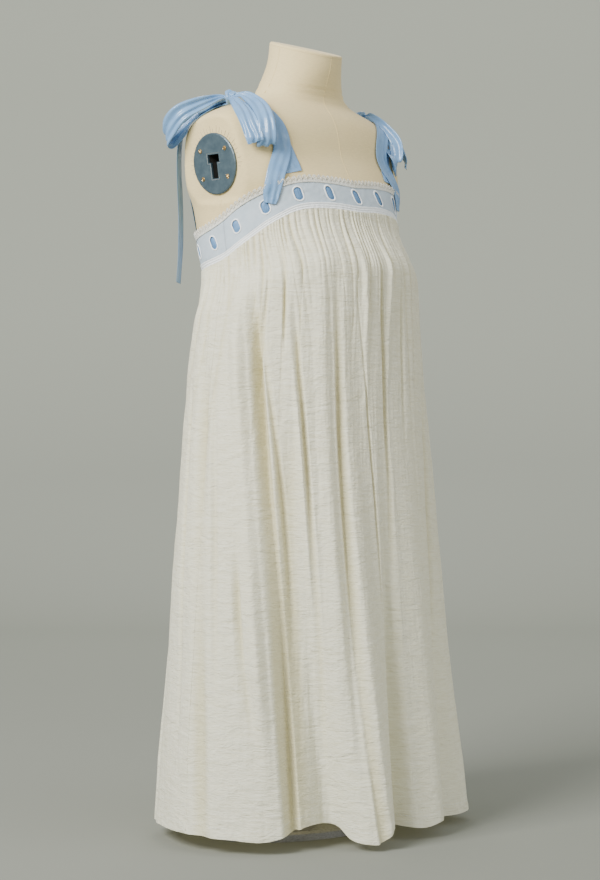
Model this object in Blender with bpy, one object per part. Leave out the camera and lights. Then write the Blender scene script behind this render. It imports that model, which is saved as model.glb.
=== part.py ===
"""A gathered chemise dress with ribbon straps, resting on a limbless linen dress form.

Metres, +Z up. The wearer faces -Y and the wearer's right is -X. The origin is the centre
of the stand's flat underside. An angle round the body is 0 at the centre front, positive
towards the wearer's left, and 180 degrees at the centre back.
"""

import bmesh
import bpy
from math import atan2, cos, degrees, hypot, pi, radians, sin
from mathutils import Matrix, Vector

# Driving sizes
GAP = 0.0003
SEAM = 0.0006
CLOTH = 0.0010
RIBBON = 0.0010

# Dress: heights of the band and the hem
HEM_HEIGHT = 0.012
LACE_HEIGHT = 0.008
HEADING_HEIGHT = 0.008
HEADING_THICKNESS = 0.0018
LACE_DIP = 0.62
CASING_SHARES = (0.02, 0.5, 0.98)
BAND_SHARES = (0.0, 0.5, 1.0)
CASING_OFFSET = 0.0009
BAND_OFFSET = CASING_OFFSET + RIBBON + GAP

# Band eyelets
EYELETS = 18
EYELET_WIDTH = 0.009
EYELET_LENGTH = 0.019
EYELET_START = 0.001
EYELET_SIDES = 12
EYELET_CUT = (-0.0011, 0.004)

# Skirt mesh and its gathers: each gather has a crest, a slope and a hollow
GATHERS = 76
GATHER_PROFILE = (1.0, -0.25, -0.9)
SKIRT_ROWS = (0.0, 0.025, 0.065, 0.14, 0.27, 0.45, 0.65, 0.84, 1.0)
SIDE_SEAM_GAP = 0.0004
BLEND_SHARE = 0.10
SKIRT_START_OUT = BAND_OFFSET + 0.0026
SKIRT_ROUNDNESS = 2.15
BACK_DROP = 0.004
FOLD_SPAN = 1.15

# Dress form
ARM_PLANE_X = 0.170
ARM_PLANE_HEIGHT = 1.010
ARM_PLANE_LEAN = 0.16
ARM_PLANE_LOW = 0.957
PLATE_RADIUS = 0.046
PLATE_THICKNESS = 0.004
PLATE_LIFT = 0.0006
PLATE_BEVEL = 0.0018
PLATE_BACK = 0.019
PLATE_SIDES = 28
SCREW_CIRCLE = 0.034
SCREW_RADIUS = 0.0034
SCREW_HEAD = 0.0014
SCREW_TURNS = (52, 128, 232, 308)
KEY_WIDE = 0.012
KEY_NARROW = 0.0065
KEY_TOP = 0.014
KEY_STEP = 0.002
KEY_BOTTOM = -0.022
KEY_POCKET_DEPTH = 0.022
NECK_TILT = 0.33
NECK_BASE = 1.130
NECK_TOP = 1.204
LID_INSET = 0.003
LID_THICKNESS = 0.004

# Stand
FOOT_HALF_WIDTH = 0.175
FOOT_HALF_DEPTH = 0.115
FOOT_THICKNESS = 0.014
FOOT_BACK = 0.006
FOOT_BEVEL = 0.004
POLE_RADIUS = 0.016

# Dress form sections: half width, depth in front and behind, roundness of each half, and
# how far the section lies behind the axis
FORM = (
    dict(z=0.420, wide=0.100, front=0.080, back=0.085, round_front=2.2, round_back=2.2, shift=0.0),
    dict(z=0.436, wide=0.138, front=0.106, back=0.112, round_front=2.2, round_back=2.2, shift=0.0),
    dict(z=0.500, wide=0.156, front=0.112, back=0.124, round_front=2.2, round_back=2.2, shift=0.0),
    dict(z=0.600, wide=0.148, front=0.106, back=0.118, round_front=2.2, round_back=2.2, shift=0.0),
    dict(z=0.700, wide=0.124, front=0.094, back=0.098, round_front=2.2, round_back=2.2, shift=0.0),
    dict(z=0.800, wide=0.142, front=0.112, back=0.110, round_front=2.2, round_back=2.3, shift=0.005),
    dict(z=0.870, wide=0.158, front=0.126, back=0.124, round_front=2.2, round_back=2.5, shift=0.009),
    dict(z=0.915, wide=0.162, front=0.128, back=0.127, round_front=2.2, round_back=2.6, shift=0.012),
    dict(z=0.952, wide=0.167, front=0.122, back=0.129, round_front=2.2, round_back=2.7, shift=0.013),
    dict(z=0.985, wide=0.184, front=0.112, back=0.128, round_front=2.2, round_back=2.7, shift=0.013),
    dict(z=1.025, wide=0.196, front=0.092, back=0.119, round_front=2.2, round_back=2.6, shift=0.013),
    dict(z=1.060, wide=0.194, front=0.084, back=0.114, round_front=2.2, round_back=2.6, shift=0.013),
    dict(z=1.078, wide=0.184, front=0.078, back=0.106, round_front=2.2, round_back=2.5, shift=0.013),
    dict(z=1.092, wide=0.163, front=0.070, back=0.095, round_front=2.2, round_back=2.5, shift=0.013),
    dict(z=1.102, wide=0.138, front=0.062, back=0.084, round_front=2.2, round_back=2.4, shift=0.013),
    dict(z=1.112, wide=0.104, front=0.054, back=0.075, round_front=2.2, round_back=2.3, shift=0.012),
    dict(z=1.124, wide=0.080, front=0.051, back=0.068, round_front=2.2, round_back=2.2, shift=0.010),
    dict(z=1.145, wide=0.067, front=0.053, back=0.063, round_front=2.1, round_back=2.1, shift=0.006),
    dict(z=1.172, wide=0.059, front=0.055, back=0.057, round_front=2.0, round_back=2.0, shift=0.001),
    dict(z=1.200, wide=0.056, front=0.056, back=0.056, round_front=2.0, round_back=2.0, shift=-0.002),
)

# Height of the band's upper and lower edge round one half of the body
BAND_LINE = (
    dict(angle=0, top=0.978, bottom=0.948),
    dict(angle=25, top=0.981, bottom=0.950),
    dict(angle=45, top=0.979, bottom=0.945),
    dict(angle=60, top=0.966, bottom=0.925),
    dict(angle=75, top=0.946, bottom=0.898),
    dict(angle=90, top=0.922, bottom=0.876),
    dict(angle=108, top=0.907, bottom=0.866),
    dict(angle=130, top=0.900, bottom=0.862),
    dict(angle=180, top=0.897, bottom=0.860),
)

# Skirt sections without folds: half width, half depth, how far forward the centre lies
SKIRT = (
    dict(z=0.000, wide=0.255, deep=0.191, forward=0.016),
    dict(z=0.125, wide=0.247, deep=0.185, forward=0.013),
    dict(z=0.250, wide=0.238, deep=0.177, forward=0.010),
    dict(z=0.400, wide=0.228, deep=0.168, forward=0.008),
    dict(z=0.535, wide=0.216, deep=0.158, forward=0.007),
    dict(z=0.627, wide=0.208, deep=0.151, forward=0.007),
    dict(z=0.775, wide=0.192, deep=0.146, forward=0.008),
    dict(z=0.860, wide=0.180, deep=0.143, forward=0.010),
    dict(z=0.930, wide=0.172, deep=0.138, forward=0.010),
    dict(z=0.980, wide=0.170, deep=0.134, forward=0.010),
)

# Large folds: angle at the band and at the hem, half width at the hem in degrees, how far
# the fold stands out (or in) at the hem, and the share of the skirt where it starts
FOLDS = (
    dict(top=-82, hem=-80, half=34, out=0.012, start=0.10),
    dict(top=-70, hem=-39, half=14, out=-0.042, start=0.05),
    dict(top=-28, hem=-17, half=13, out=0.036, start=0.18),
    dict(top=2, hem=0, half=8, out=-0.030, start=0.22),
    dict(top=22, hem=20, half=14, out=0.016, start=0.30),
    dict(top=44, hem=41, half=9, out=-0.022, start=0.30),
    dict(top=58, hem=58, half=12, out=0.015, start=0.35),
    dict(top=76, hem=79, half=10, out=-0.022, start=0.30),
    dict(top=96, hem=98, half=13, out=0.014, start=0.30),
    dict(top=114, hem=117, half=10, out=-0.024, start=0.35),
    dict(top=133, hem=136, half=13, out=0.015, start=0.30),
    dict(top=152, hem=153, half=9, out=-0.020, start=0.40),
    dict(top=168, hem=170, half=12, out=0.016, start=0.30),
    dict(top=186, hem=188, half=10, out=-0.026, start=0.30),
    dict(top=206, hem=207, half=13, out=0.014, start=0.35),
    dict(top=228, hem=226, half=10, out=-0.020, start=0.30),
    dict(top=246, hem=243, half=10, out=0.008, start=0.40),
)

# Height of the small gathers down the skirt
GATHER_HEIGHT = (
    dict(t=0.00, high=0.0010),
    dict(t=0.03, high=0.0021),
    dict(t=0.08, high=0.0023),
    dict(t=0.18, high=0.0019),
    dict(t=0.40, high=0.0012),
    dict(t=0.70, high=0.0007),
    dict(t=1.00, high=0.0004),
)

# Shoulder straps and the short front tail on the form: angle round the body, height, width,
# and how far the ribbon's underside lies off the form. The left strap lies nearer the neck.
STRAP_FRONT_RIGHT = (
    dict(angle=61, z=0.946, width=0.018, lift=0.0052),
    dict(angle=60, z=0.962, width=0.025, lift=0.0052),
    dict(angle=58, z=0.990, width=0.028, lift=0.0046),
    dict(angle=56, z=1.030, width=0.029, lift=0.0034),
    dict(angle=60, z=1.064, width=0.029, lift=0.0032),
    dict(angle=70, z=1.090, width=0.026, lift=0.0022),
    dict(angle=87, z=1.103, width=0.018, lift=0.0062),
)
STRAP_FRONT_LEFT = (
    dict(angle=53, z=0.954, width=0.018, lift=0.0052),
    dict(angle=53, z=0.970, width=0.025, lift=0.0052),
    dict(angle=52, z=0.998, width=0.028, lift=0.0046),
    dict(angle=51, z=1.034, width=0.029, lift=0.0034),
    dict(angle=58, z=1.066, width=0.029, lift=0.0032),
    dict(angle=70, z=1.090, width=0.026, lift=0.0022),
    dict(angle=87, z=1.103, width=0.018, lift=0.0062),
)
STRAP_BACK = (
    dict(angle=93, z=1.102, width=0.018, lift=0.0050),
    dict(angle=108, z=1.092, width=0.026, lift=0.0024),
    dict(angle=120, z=1.064, width=0.034, lift=0.0028),
    dict(angle=127, z=1.020, width=0.036, lift=0.0028),
    dict(angle=131, z=0.970, width=0.036, lift=0.0034),
    dict(angle=132, z=0.925, width=0.032, lift=0.0040),
    dict(angle=132, z=0.885, width=0.020, lift=0.0038),
)
TAIL_FRONT = (
    dict(angle=61, z=1.058, width=0.022, lift=0.0007),
    dict(angle=56, z=1.038, width=0.026, lift=0.0007),
    dict(angle=51, z=1.012, width=0.028, lift=0.0007),
    dict(angle=48, z=0.994, width=0.028, lift=0.0007),
)

# Free ribbon pieces of a bow, measured from its knot: outwards from the body (side), to
# the back, up; width; then the direction across the ribbon. Places are for the right side.
KNOT = Vector((-0.143, 0.015, 1.1130))
KNOT_SIZE = Vector((0.0095, 0.0100, 0.0092))
LOOP_BACK = (
    dict(side=0.001, back=0.0118, up=0.001, width=0.008, ax=0.8, ay=0.0, az=0.5),
    dict(side=0.012, back=0.0190, up=-0.002, width=0.018, ax=0.4, ay=0.4, az=0.8),
    dict(side=0.034, back=0.0260, up=-0.012, width=0.026, ax=-0.2, ay=0.3, az=0.9),
    dict(side=0.058, back=0.0440, up=-0.028, width=0.034, ax=-0.4, ay=0.3, az=0.9),
    dict(side=0.064, back=0.0620, up=-0.046, width=0.037, ax=-0.3, ay=0.2, az=0.9),
    dict(side=0.060, back=0.0780, up=-0.062, width=0.038, ax=0.0, ay=0.3, az=0.9),
    dict(side=0.048, back=0.0800, up=-0.066, width=0.036, ax=0.2, ay=0.4, az=0.8),
    dict(side=0.038, back=0.0640, up=-0.050, width=0.028, ax=0.3, ay=0.3, az=0.8),
    dict(side=0.026, back=0.0420, up=-0.024, width=0.018, ax=0.5, ay=0.3, az=0.6),
)
LOOP_FRONT = (
    dict(side=0.000, back=-0.0107, up=0.002, width=0.011, ax=0.9, ay=-0.2, az=0.3),
    dict(side=-0.008, back=-0.0290, up=0.001, width=0.022, ax=0.8, ay=-0.4, az=0.3),
    dict(side=-0.009, back=-0.0580, up=-0.016, width=0.030, ax=0.8, ay=-0.5, az=0.2),
    dict(side=-0.001, back=-0.0815, up=-0.042, width=0.032, ax=0.8, ay=-0.5, az=0.2),
    dict(side=0.001, back=-0.0865, up=-0.068, width=0.032, ax=0.8, ay=-0.5, az=0.2),
    dict(side=-0.0015, back=-0.0815, up=-0.080, width=0.032, ax=0.8, ay=-0.5, az=0.2),
    dict(side=-0.0045, back=-0.0760, up=-0.070, width=0.026, ax=0.8, ay=-0.5, az=0.2),
    dict(side=-0.0035, back=-0.0735, up=-0.048, width=0.020, ax=0.8, ay=-0.5, az=0.2),
)
LOOP_SMALL = (
    dict(side=0.0100, back=-0.004, up=-0.003, width=0.010, ax=0.3, ay=-0.9, az=0.0),
    dict(side=0.0190, back=-0.020, up=-0.014, width=0.022, ax=0.7, ay=-0.6, az=0.0),
    dict(side=0.0300, back=-0.050, up=-0.042, width=0.028, ax=0.7, ay=-0.7, az=0.1),
    dict(side=0.0310, back=-0.066, up=-0.070, width=0.028, ax=0.7, ay=-0.7, az=0.1),
    dict(side=0.0290, back=-0.070, up=-0.082, width=0.026, ax=0.7, ay=-0.7, az=0.1),
)
TAIL_BACK = (
    dict(side=-0.0050, back=0.0094, up=-0.0025, width=0.008, ax=0.9, ay=0.2, az=0.0),
    dict(side=-0.0020, back=0.048, up=-0.012, width=0.022, ax=0.9, ay=0.4, az=0.0),
    dict(side=0.0130, back=0.088, up=-0.034, width=0.032, ax=0.8, ay=0.6, az=0.0),
    dict(side=0.0170, back=0.098, up=-0.080, width=0.036, ax=0.7, ay=0.7, az=0.0),
    dict(side=0.0150, back=0.097, up=-0.150, width=0.036, ax=0.7, ay=0.7, az=0.0),
    dict(side=0.0150, back=0.097, up=-0.220, width=0.036, ax=0.7, ay=0.7, az=0.0),
    dict(side=0.0180, back=0.099, up=-0.276, width=0.036, ax=0.72, ay=0.68, az=0.0),
)

# Surface colours, roughness and metallic value
MATERIALS = {
    "gauze": ((0.80, 0.78, 0.70), 0.85, 0.0),
    "insertion": ((0.74, 0.80, 0.86), 0.80, 0.0),
    "lace": ((0.86, 0.85, 0.82), 0.85, 0.0),
    "satin": ((0.27, 0.48, 0.76), 0.35, 0.0),
    "linen": ((0.66, 0.57, 0.42), 0.80, 0.0),
    "plate": ((0.12, 0.17, 0.21), 0.35, 0.6),
    "brass": ((0.66, 0.46, 0.20), 0.30, 1.0),
    "steel": ((0.45, 0.45, 0.45), 0.35, 1.0),
}


def clear_scene():
    """Remove whatever the scene holds."""
    for item in list(bpy.data.objects):
        bpy.data.objects.remove(item, do_unlink=True)


def material(name):
    """Make, or find, a plain material by its name in MATERIALS."""
    found = bpy.data.materials.get(name)
    if found:
        return found
    colour, roughness, metallic = MATERIALS[name]
    made = bpy.data.materials.new(name)
    made.use_nodes = True
    shader = made.node_tree.nodes["Principled BSDF"]
    shader.inputs["Base Color"].default_value = (*colour, 1.0)
    shader.inputs["Roughness"].default_value = roughness
    shader.inputs["Metallic"].default_value = metallic
    return made


def add_object(name, points, faces, surface, smooth=40):
    """Make a mesh object with its faces turned outwards."""
    mesh = bpy.data.meshes.new(name)
    mesh.from_pydata([tuple(p) for p in points], [], faces)
    edit = bmesh.new()
    edit.from_mesh(mesh)
    bmesh.ops.recalc_face_normals(edit, faces=edit.faces)
    edit.to_mesh(mesh)
    edit.free()
    mesh.shade_smooth()
    mesh.set_sharp_from_angle(angle=radians(smooth))
    mesh.materials.append(material(surface))
    item = bpy.data.objects.new(name, mesh)
    bpy.context.collection.objects.link(item)
    return item


def read_row(rows, key, at, column):
    """Value of a column at a place along a table, on a smooth curve through its rows."""
    if at <= rows[0][key]:
        return rows[0][column]
    if at >= rows[-1][key]:
        return rows[-1][column]
    upper = next(i for i, row in enumerate(rows) if row[key] >= at)
    lower = upper - 1
    before = rows[max(lower - 1, 0)]
    after = rows[min(upper + 1, len(rows) - 1)]
    first, second = rows[lower], rows[upper]
    span = second[key] - first[key]
    share = (at - first[key]) / span
    slope_in = (second[column] - before[column]) / (second[key] - before[key]) * span
    slope_out = (after[column] - first[column]) / (after[key] - first[key]) * span
    s2, s3 = share * share, share ** 3
    return ((2 * s3 - 3 * s2 + 1) * first[column] + (s3 - 2 * s2 + share) * slope_in
            + (3 * s2 - 2 * s3) * second[column] + (s3 - s2) * slope_out)


def oval(angle, wide, deep, roundness):
    """Distance from the centre of a rounded oval to its edge."""
    across = abs(sin(angle) / wide) ** roundness
    along = abs(cos(angle) / deep) ** roundness
    return (across + along) ** (-1.0 / roundness)


def arm_plane(z):
    """Distance from the middle to the flat armhole plane, which ends under the plate."""
    below = max(0.0, ARM_PLANE_LOW - z)
    return ARM_PLANE_X + ARM_PLANE_LEAN * (z - ARM_PLANE_HEIGHT) + below


def form_point(angle, z, out=0.0):
    """Point of the dress form's surface, or one moved out level from it."""
    front = cos(angle) >= 0.0
    depth = read_row(FORM, "z", z, "front" if front else "back")
    roundness = read_row(FORM, "z", z, "round_front" if front else "round_back")
    reach = oval(angle, read_row(FORM, "z", z, "wide"), depth, roundness)
    x = reach * sin(angle)
    limit = arm_plane(z)
    if abs(x) > limit:
        reach *= limit / abs(x)
    reach += out
    return Vector((reach * sin(angle), -reach * cos(angle) + read_row(FORM, "z", z, "shift"), z))


def form_normal(angle, z):
    """Outward direction of the dress form's surface."""
    step = 0.002
    turn = 0.02
    round_way = form_point(angle + turn, z) - form_point(angle - turn, z)
    up_way = form_point(angle, z + step) - form_point(angle, z - step)
    return round_way.cross(up_way).normalized()


def inside_form(point, margin):
    """True when a point is inside the dress form or nearer to it than the margin."""
    z = point.z
    if z > NECK_TOP or z < FORM[0]["z"]:
        return False
    centre = read_row(FORM, "z", z, "shift")
    angle = atan2(point.x, centre - point.y)
    edge = form_point(angle, z)
    return hypot(point.x, point.y - centre) < hypot(edge.x, edge.y - centre) + margin


def push_out(point, normal, margin):
    """Move a point along a direction until it is clear of the dress form."""
    moved = point.copy()
    for _ in range(120):
        if not inside_form(moved, margin):
            return moved
        moved += normal * 0.0005
    return moved


def wall(name, outer, inner, surface, closed=False):
    """Closed wall between two grids of points with the same rows and columns."""
    rows, columns = len(outer), len(outer[0])
    points = [p for row in outer for p in row] + [p for row in inner for p in row]
    shift = rows * columns
    last = columns if closed else columns - 1
    faces = []
    for r in range(rows - 1):
        for c in range(last):
            n = (c + 1) % columns
            a, b = r * columns + c, r * columns + n
            d, e = (r + 1) * columns + n, (r + 1) * columns + c
            faces += [(a, b, d), (a, d, e)]
            faces += [(shift + d, shift + b, shift + a), (shift + e, shift + d, shift + a)]
    for c in range(last):
        n = (c + 1) % columns
        faces.append((shift + c, shift + n, n, c))
        low = (rows - 1) * columns
        faces.append((low + c, low + n, shift + low + n, shift + low + c))
    if not closed:
        for r in range(rows - 1):
            a, b = r * columns, (r + 1) * columns
            faces.append((a, b, shift + b, shift + a))
            a, b = a + columns - 1, b + columns - 1
            faces.append((shift + a, shift + b, b, a))
    return add_object(name, points, faces, surface, smooth=75)


def loft(name, rings, surface, smooth=40):
    """Closed body through rings of points, with flat ends."""
    count = len(rings[0])
    points = [p for ring in rings for p in ring]
    faces = [tuple(range(count)), tuple((len(rings) - 1) * count + i for i in range(count))]
    for r in range(len(rings) - 1):
        for i in range(count):
            n = (i + 1) % count
            faces.append((r * count + i, r * count + n, (r + 1) * count + n, (r + 1) * count + i))
    return add_object(name, points, faces, surface, smooth)


def disc(name, centre, axis, radius, thickness, surface, sides=32, squeeze=1.0):
    """Flat round plate whose back face starts at the centre point."""
    turn = Vector((0, 0, 1)).rotation_difference(Vector(axis)).to_matrix()
    rings = []
    for height in (0.0, thickness):
        ring = []
        for i in range(sides):
            a = 2 * pi * i / sides
            flat = Vector((radius * cos(a), radius * squeeze * sin(a), height))
            ring.append(Vector(centre) + turn @ flat)
        rings.append(ring)
    return loft(name, rings, surface)


# Dress form and stand
FORM_SIDES = 32
FORM_HEIGHTS = (0.420, 0.436, 0.500, 0.600, 0.700, 0.800, 0.870, 0.915, 0.936, 0.957, 0.985, 1.022,
                1.050, 1.072, 1.090, 1.102, 1.112, 1.124, 1.145, 1.172, 1.198)


def neck_tilt(point):
    """Lean the neck's upper rings so that its top slopes down to the front."""
    share = max(0.0, (point.z - NECK_BASE) / (NECK_TOP - NECK_BASE))
    return Vector((point.x, point.y, point.z + NECK_TILT * share * point.y))


def make_form():
    """Linen-covered torso with its neck, pocketed behind each armhole plate."""
    rings = []
    for z in FORM_HEIGHTS:
        rings.append([neck_tilt(form_point(2 * pi * i / FORM_SIDES, z)) for i in range(FORM_SIDES)])
    body = loft("form_torso", rings, "linen", 60)
    for side in (-1, 1):
        cut = body.modifiers.new("keyhole pocket", "BOOLEAN")
        cut.object = key_cutter(side, "pocket_cutter", -KEY_POCKET_DEPTH, 0.006)
        cut.solver = "EXACT"


def make_neck_lid():
    """Thin lid on the sloping top of the neck."""
    low, high = [], []
    lean = Vector((0, -NECK_TILT, 1)).normalized()
    for i in range(FORM_SIDES):
        angle = 2 * pi * i / FORM_SIDES
        rim = neck_tilt(form_point(angle, FORM_HEIGHTS[-1], -LID_INSET))
        low.append(rim + lean * GAP)
        high.append(rim + lean * (GAP + LID_THICKNESS))
    loft("neck_lid", [low, high], "linen")


def arm_frame(side):
    """Matrix of an armhole plate: X forward, Y up in the plane, Z out from the body."""
    up = Vector((side * ARM_PLANE_LEAN, 0, 1)).normalized()
    forward = Vector((0, -1, 0))
    out = forward.cross(up) * -side
    out = out if out.x * side > 0 else -out
    centre = Vector((side * arm_plane(ARM_PLANE_HEIGHT), PLATE_BACK, ARM_PLANE_HEIGHT))
    frame = Matrix((forward, up, out)).transposed().to_4x4()
    frame.translation = centre
    return frame


def key_outline():
    """Keyhole: a wide upper part and a narrow tail below it."""
    right = [(KEY_NARROW, KEY_BOTTOM), (KEY_NARROW, KEY_STEP), (KEY_WIDE, KEY_STEP), (KEY_WIDE, KEY_TOP)]
    left = [(-x, y) for x, y in reversed(right)]
    return left + right


def key_cutter(side, name, low, high):
    """Solid of the keyhole's outline, used to cut the plate and the torso."""
    frame = arm_frame(side)
    outline = key_outline()
    rings = [[frame @ Vector((x, y, level)) for x, y in outline] for level in (low, high)]
    cutter = loft(f"{name}_{'right' if side < 0 else 'left'}", rings, "linen")
    cutter.hide_render = True
    cutter.display_type = "WIRE"
    return cutter


def make_arm_plate(side, label):
    """Painted metal plate over an armhole, with its keyhole and four screws."""
    frame = arm_frame(side)
    levels = (
        (PLATE_RADIUS, PLATE_LIFT),
        (PLATE_RADIUS, PLATE_THICKNESS - PLATE_BEVEL / 2),
        (PLATE_RADIUS - PLATE_BEVEL, PLATE_THICKNESS),
    )
    turns = [2 * pi * i / PLATE_SIDES for i in range(PLATE_SIDES)]
    rings = []
    for radius, level in levels:
        rings.append([frame @ Vector((radius * sin(a), radius * cos(a), level)) for a in turns])
    plate = loft(f"armhole_plate_{label}", rings, "plate")
    cut = plate.modifiers.new("keyhole", "BOOLEAN")
    cut.object = key_cutter(side, "key_cutter", -0.003, 0.010)
    cut.solver = "EXACT"
    out = frame.to_3x3() @ Vector((0, 0, 1))
    for number, turn in enumerate(SCREW_TURNS):
        a = radians(turn)
        place = frame @ Vector((SCREW_CIRCLE * sin(a), SCREW_CIRCLE * cos(a), PLATE_THICKNESS + GAP))
        disc(f"screw_{label}_{number + 1}", place, out, SCREW_RADIUS, SCREW_HEAD, "brass", sides=8)


def make_stand():
    """Flat foot and a short pole up to the torso's underside."""
    sides = 36
    turns = [2 * pi * i / sides for i in range(sides)]
    rings = []
    for inset, z in ((0.0, 0.0), (0.0, FOOT_THICKNESS - FOOT_BEVEL), (FOOT_BEVEL, FOOT_THICKNESS)):
        wide = FOOT_HALF_WIDTH - inset
        deep = FOOT_HALF_DEPTH - inset
        rings.append([Vector((wide * sin(a), FOOT_BACK - deep * cos(a), z)) for a in turns])
    loft("stand_foot", rings, "steel")
    length = FORM[0]["z"] - FOOT_THICKNESS - 2 * GAP
    disc("pole", (0, 0, FOOT_THICKNESS + GAP), (0, 0, 1), POLE_RADIUS, length, "steel", sides=20)


# Band, lace, heading and casing ribbon
BAND_COLUMNS = 72
LACE_COLUMNS = 144


def band_height(angle, share):
    """Height on the band, from its upper edge (0) to its lower edge (1)."""
    turn = abs(degrees(atan2(sin(angle), cos(angle))))
    top = read_row(BAND_LINE, "angle", turn, "top")
    bottom = read_row(BAND_LINE, "angle", turn, "bottom")
    return top + (bottom - top) * share


def strip_point(angle, share, out):
    """Point on the strip round the chest; share may pass 0 and 1 for its neighbours."""
    z = band_height(angle, share)
    base = form_point(angle, z)
    normal = form_normal(angle, z)
    flat = Vector((normal.x, normal.y, 0)).normalized()
    return base + flat * (out / max(0.75, normal.dot(flat)))


def slope_share(angle, length):
    """Share of the band's height that a length in metres takes."""
    return length / (band_height(angle, 0) - band_height(angle, 1))


def strip_wall(name, angles, shares, out, thick, surface):
    """Wall round part of the chest; shares gives the rows for an angle and a column."""
    outer, inner = [], []
    row_count = len(shares(angles[0], 0))
    for r in range(row_count):
        outer.append([strip_point(a, shares(a, c)[r], out + thick) for c, a in enumerate(angles)])
        inner.append([strip_point(a, shares(a, c)[r], out) for c, a in enumerate(angles)])
    return wall(name, outer, inner, surface)


def half_angles(front, columns):
    """Angles of one half of the body, just short of the side seams."""
    middle = 0.0 if front else pi
    trim = SIDE_SEAM_GAP / 0.165
    reach = pi / 2 - trim / 2
    return [middle - reach + 2 * reach * i / columns for i in range(columns + 1)]


def arc_angles():
    """Angles of the eyelets, equally spaced by length along the band."""
    steps = 720
    lengths = [0.0]
    before = strip_point(-pi, 0.5, BAND_OFFSET)
    for i in range(1, steps + 1):
        point = strip_point(-pi + 2 * pi * i / steps, 0.5, BAND_OFFSET)
        lengths.append(lengths[-1] + (point - before).length)
        before = point
    girth = lengths[-1]
    start = lengths[steps // 2] + EYELET_START
    found = []
    for k in range(EYELETS):
        target = (start + k * girth / EYELETS) % girth
        i = next(i for i, value in enumerate(lengths) if value >= target)
        found.append(-pi + 2 * pi * i / steps)
    return found


def eyelet_cutter(angle, number):
    """Oblong prism through the band, upright to the band's edges."""
    turn = 0.03
    centre = strip_point(angle, 0.5, BAND_OFFSET)
    up = (strip_point(angle, 0.2, BAND_OFFSET) - strip_point(angle, 0.8, BAND_OFFSET)).normalized()
    ahead = strip_point(angle + turn, 0.5, BAND_OFFSET)
    behind = strip_point(angle - turn, 0.5, BAND_OFFSET)
    along = (ahead - behind).normalized()
    out = along.cross(up).normalized()
    up = out.cross(along).normalized()
    rings = []
    for level in EYELET_CUT:
        ring = []
        for i in range(EYELET_SIDES):
            a = 2 * pi * (i + 0.5) / EYELET_SIDES
            straight = (EYELET_LENGTH - EYELET_WIDTH) / 2 * (1 if sin(a) > 0 else -1)
            x = EYELET_WIDTH / 2 * cos(a)
            y = EYELET_WIDTH / 2 * sin(a) + straight
            ring.append(centre + along * x + up * y + out * level)
        rings.append(ring)
    cutter = loft(f"eyelet_cutter_{number:02d}", rings, "insertion")
    cutter.hide_render = True
    cutter.display_type = "WIRE"
    return cutter


def make_band():
    """Insertion band in two halves, cut through by its eyelets."""
    eyelets = arc_angles()
    cutters = [(angle, eyelet_cutter(angle, k)) for k, angle in enumerate(eyelets)]
    for label, front in (("front", True), ("back", False)):
        half = strip_wall(f"band_{label}", half_angles(front, BAND_COLUMNS // 2),
                          lambda angle, column: BAND_SHARES, BAND_OFFSET, CLOTH, "insertion")
        for angle, cutter in cutters:
            if (cos(angle) > 0) == front:
                cut = half.modifiers.new("eyelet", "BOOLEAN")
                cut.object = cutter
                cut.solver = "EXACT"


def make_trims():
    """Scalloped lace above the band, heading strip below it, ribbon behind it."""

    def lace_rows(angle, column):
        high = LACE_HEIGHT * (LACE_DIP if column % 2 else 1.0)
        return (-slope_share(angle, high), -slope_share(angle, SEAM))

    def heading_rows(angle, column):
        return (1 + slope_share(angle, SEAM), 1 + slope_share(angle, HEADING_HEIGHT))

    def casing_rows(angle, column):
        return CASING_SHARES

    for label, front in (("front", True), ("back", False)):
        fine = half_angles(front, LACE_COLUMNS // 2)
        plain = half_angles(front, BAND_COLUMNS // 2)
        strip_wall(f"lace_{label}", fine, lace_rows, BAND_OFFSET, CLOTH, "lace")
        strip_wall(f"heading_{label}", plain, heading_rows, BAND_OFFSET, HEADING_THICKNESS, "lace")
        strip_wall(f"ribbon_{label}", plain, casing_rows, CASING_OFFSET, RIBBON, "satin")


# Skirt
def wrap(angle):
    """Angle in degrees between -180 and 180."""
    return (angle + 180.0) % 360.0 - 180.0


def smooth_step(value):
    """Soft ramp from 0 to 1."""
    value = min(1.0, max(0.0, value))
    return value * value * (3 - 2 * value)


def fold_offset(turn, t):
    """Depth of the large folds at an angle in degrees and a share of the skirt's height."""
    total = 0.0
    for fold in FOLDS:
        centre = fold["top"] + (fold["hem"] - fold["top"]) * t
        away = abs(wrap(turn - centre)) / (fold["half"] * (0.75 + 0.25 * t))
        if away < 1.0:
            grow = smooth_step((t - fold["start"]) / (FOLD_SPAN - fold["start"])) / smooth_step(1 / FOLD_SPAN)
            total += fold["out"] * grow * (0.5 + 0.5 * cos(pi * away))
    return total


def gather_offset(number, t):
    """Height of a column of the small gathers, each gather with its own size and length."""
    gather = number // len(GATHER_PROFILE)
    length = 1.0 + 0.7 * sin(2.4 * gather) * sin(0.7 * gather + 1.0)
    high = read_row(GATHER_HEIGHT, "t", t / length, "high")
    uneven = 1.0 + 0.25 * sin(1.9 * gather + 2.0)
    return high * uneven * GATHER_PROFILE[number % len(GATHER_PROFILE)]


def hem_height(angle):
    """The hem hangs a little lower behind."""
    return HEM_HEIGHT + BACK_DROP * (1 + cos(angle))


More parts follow.
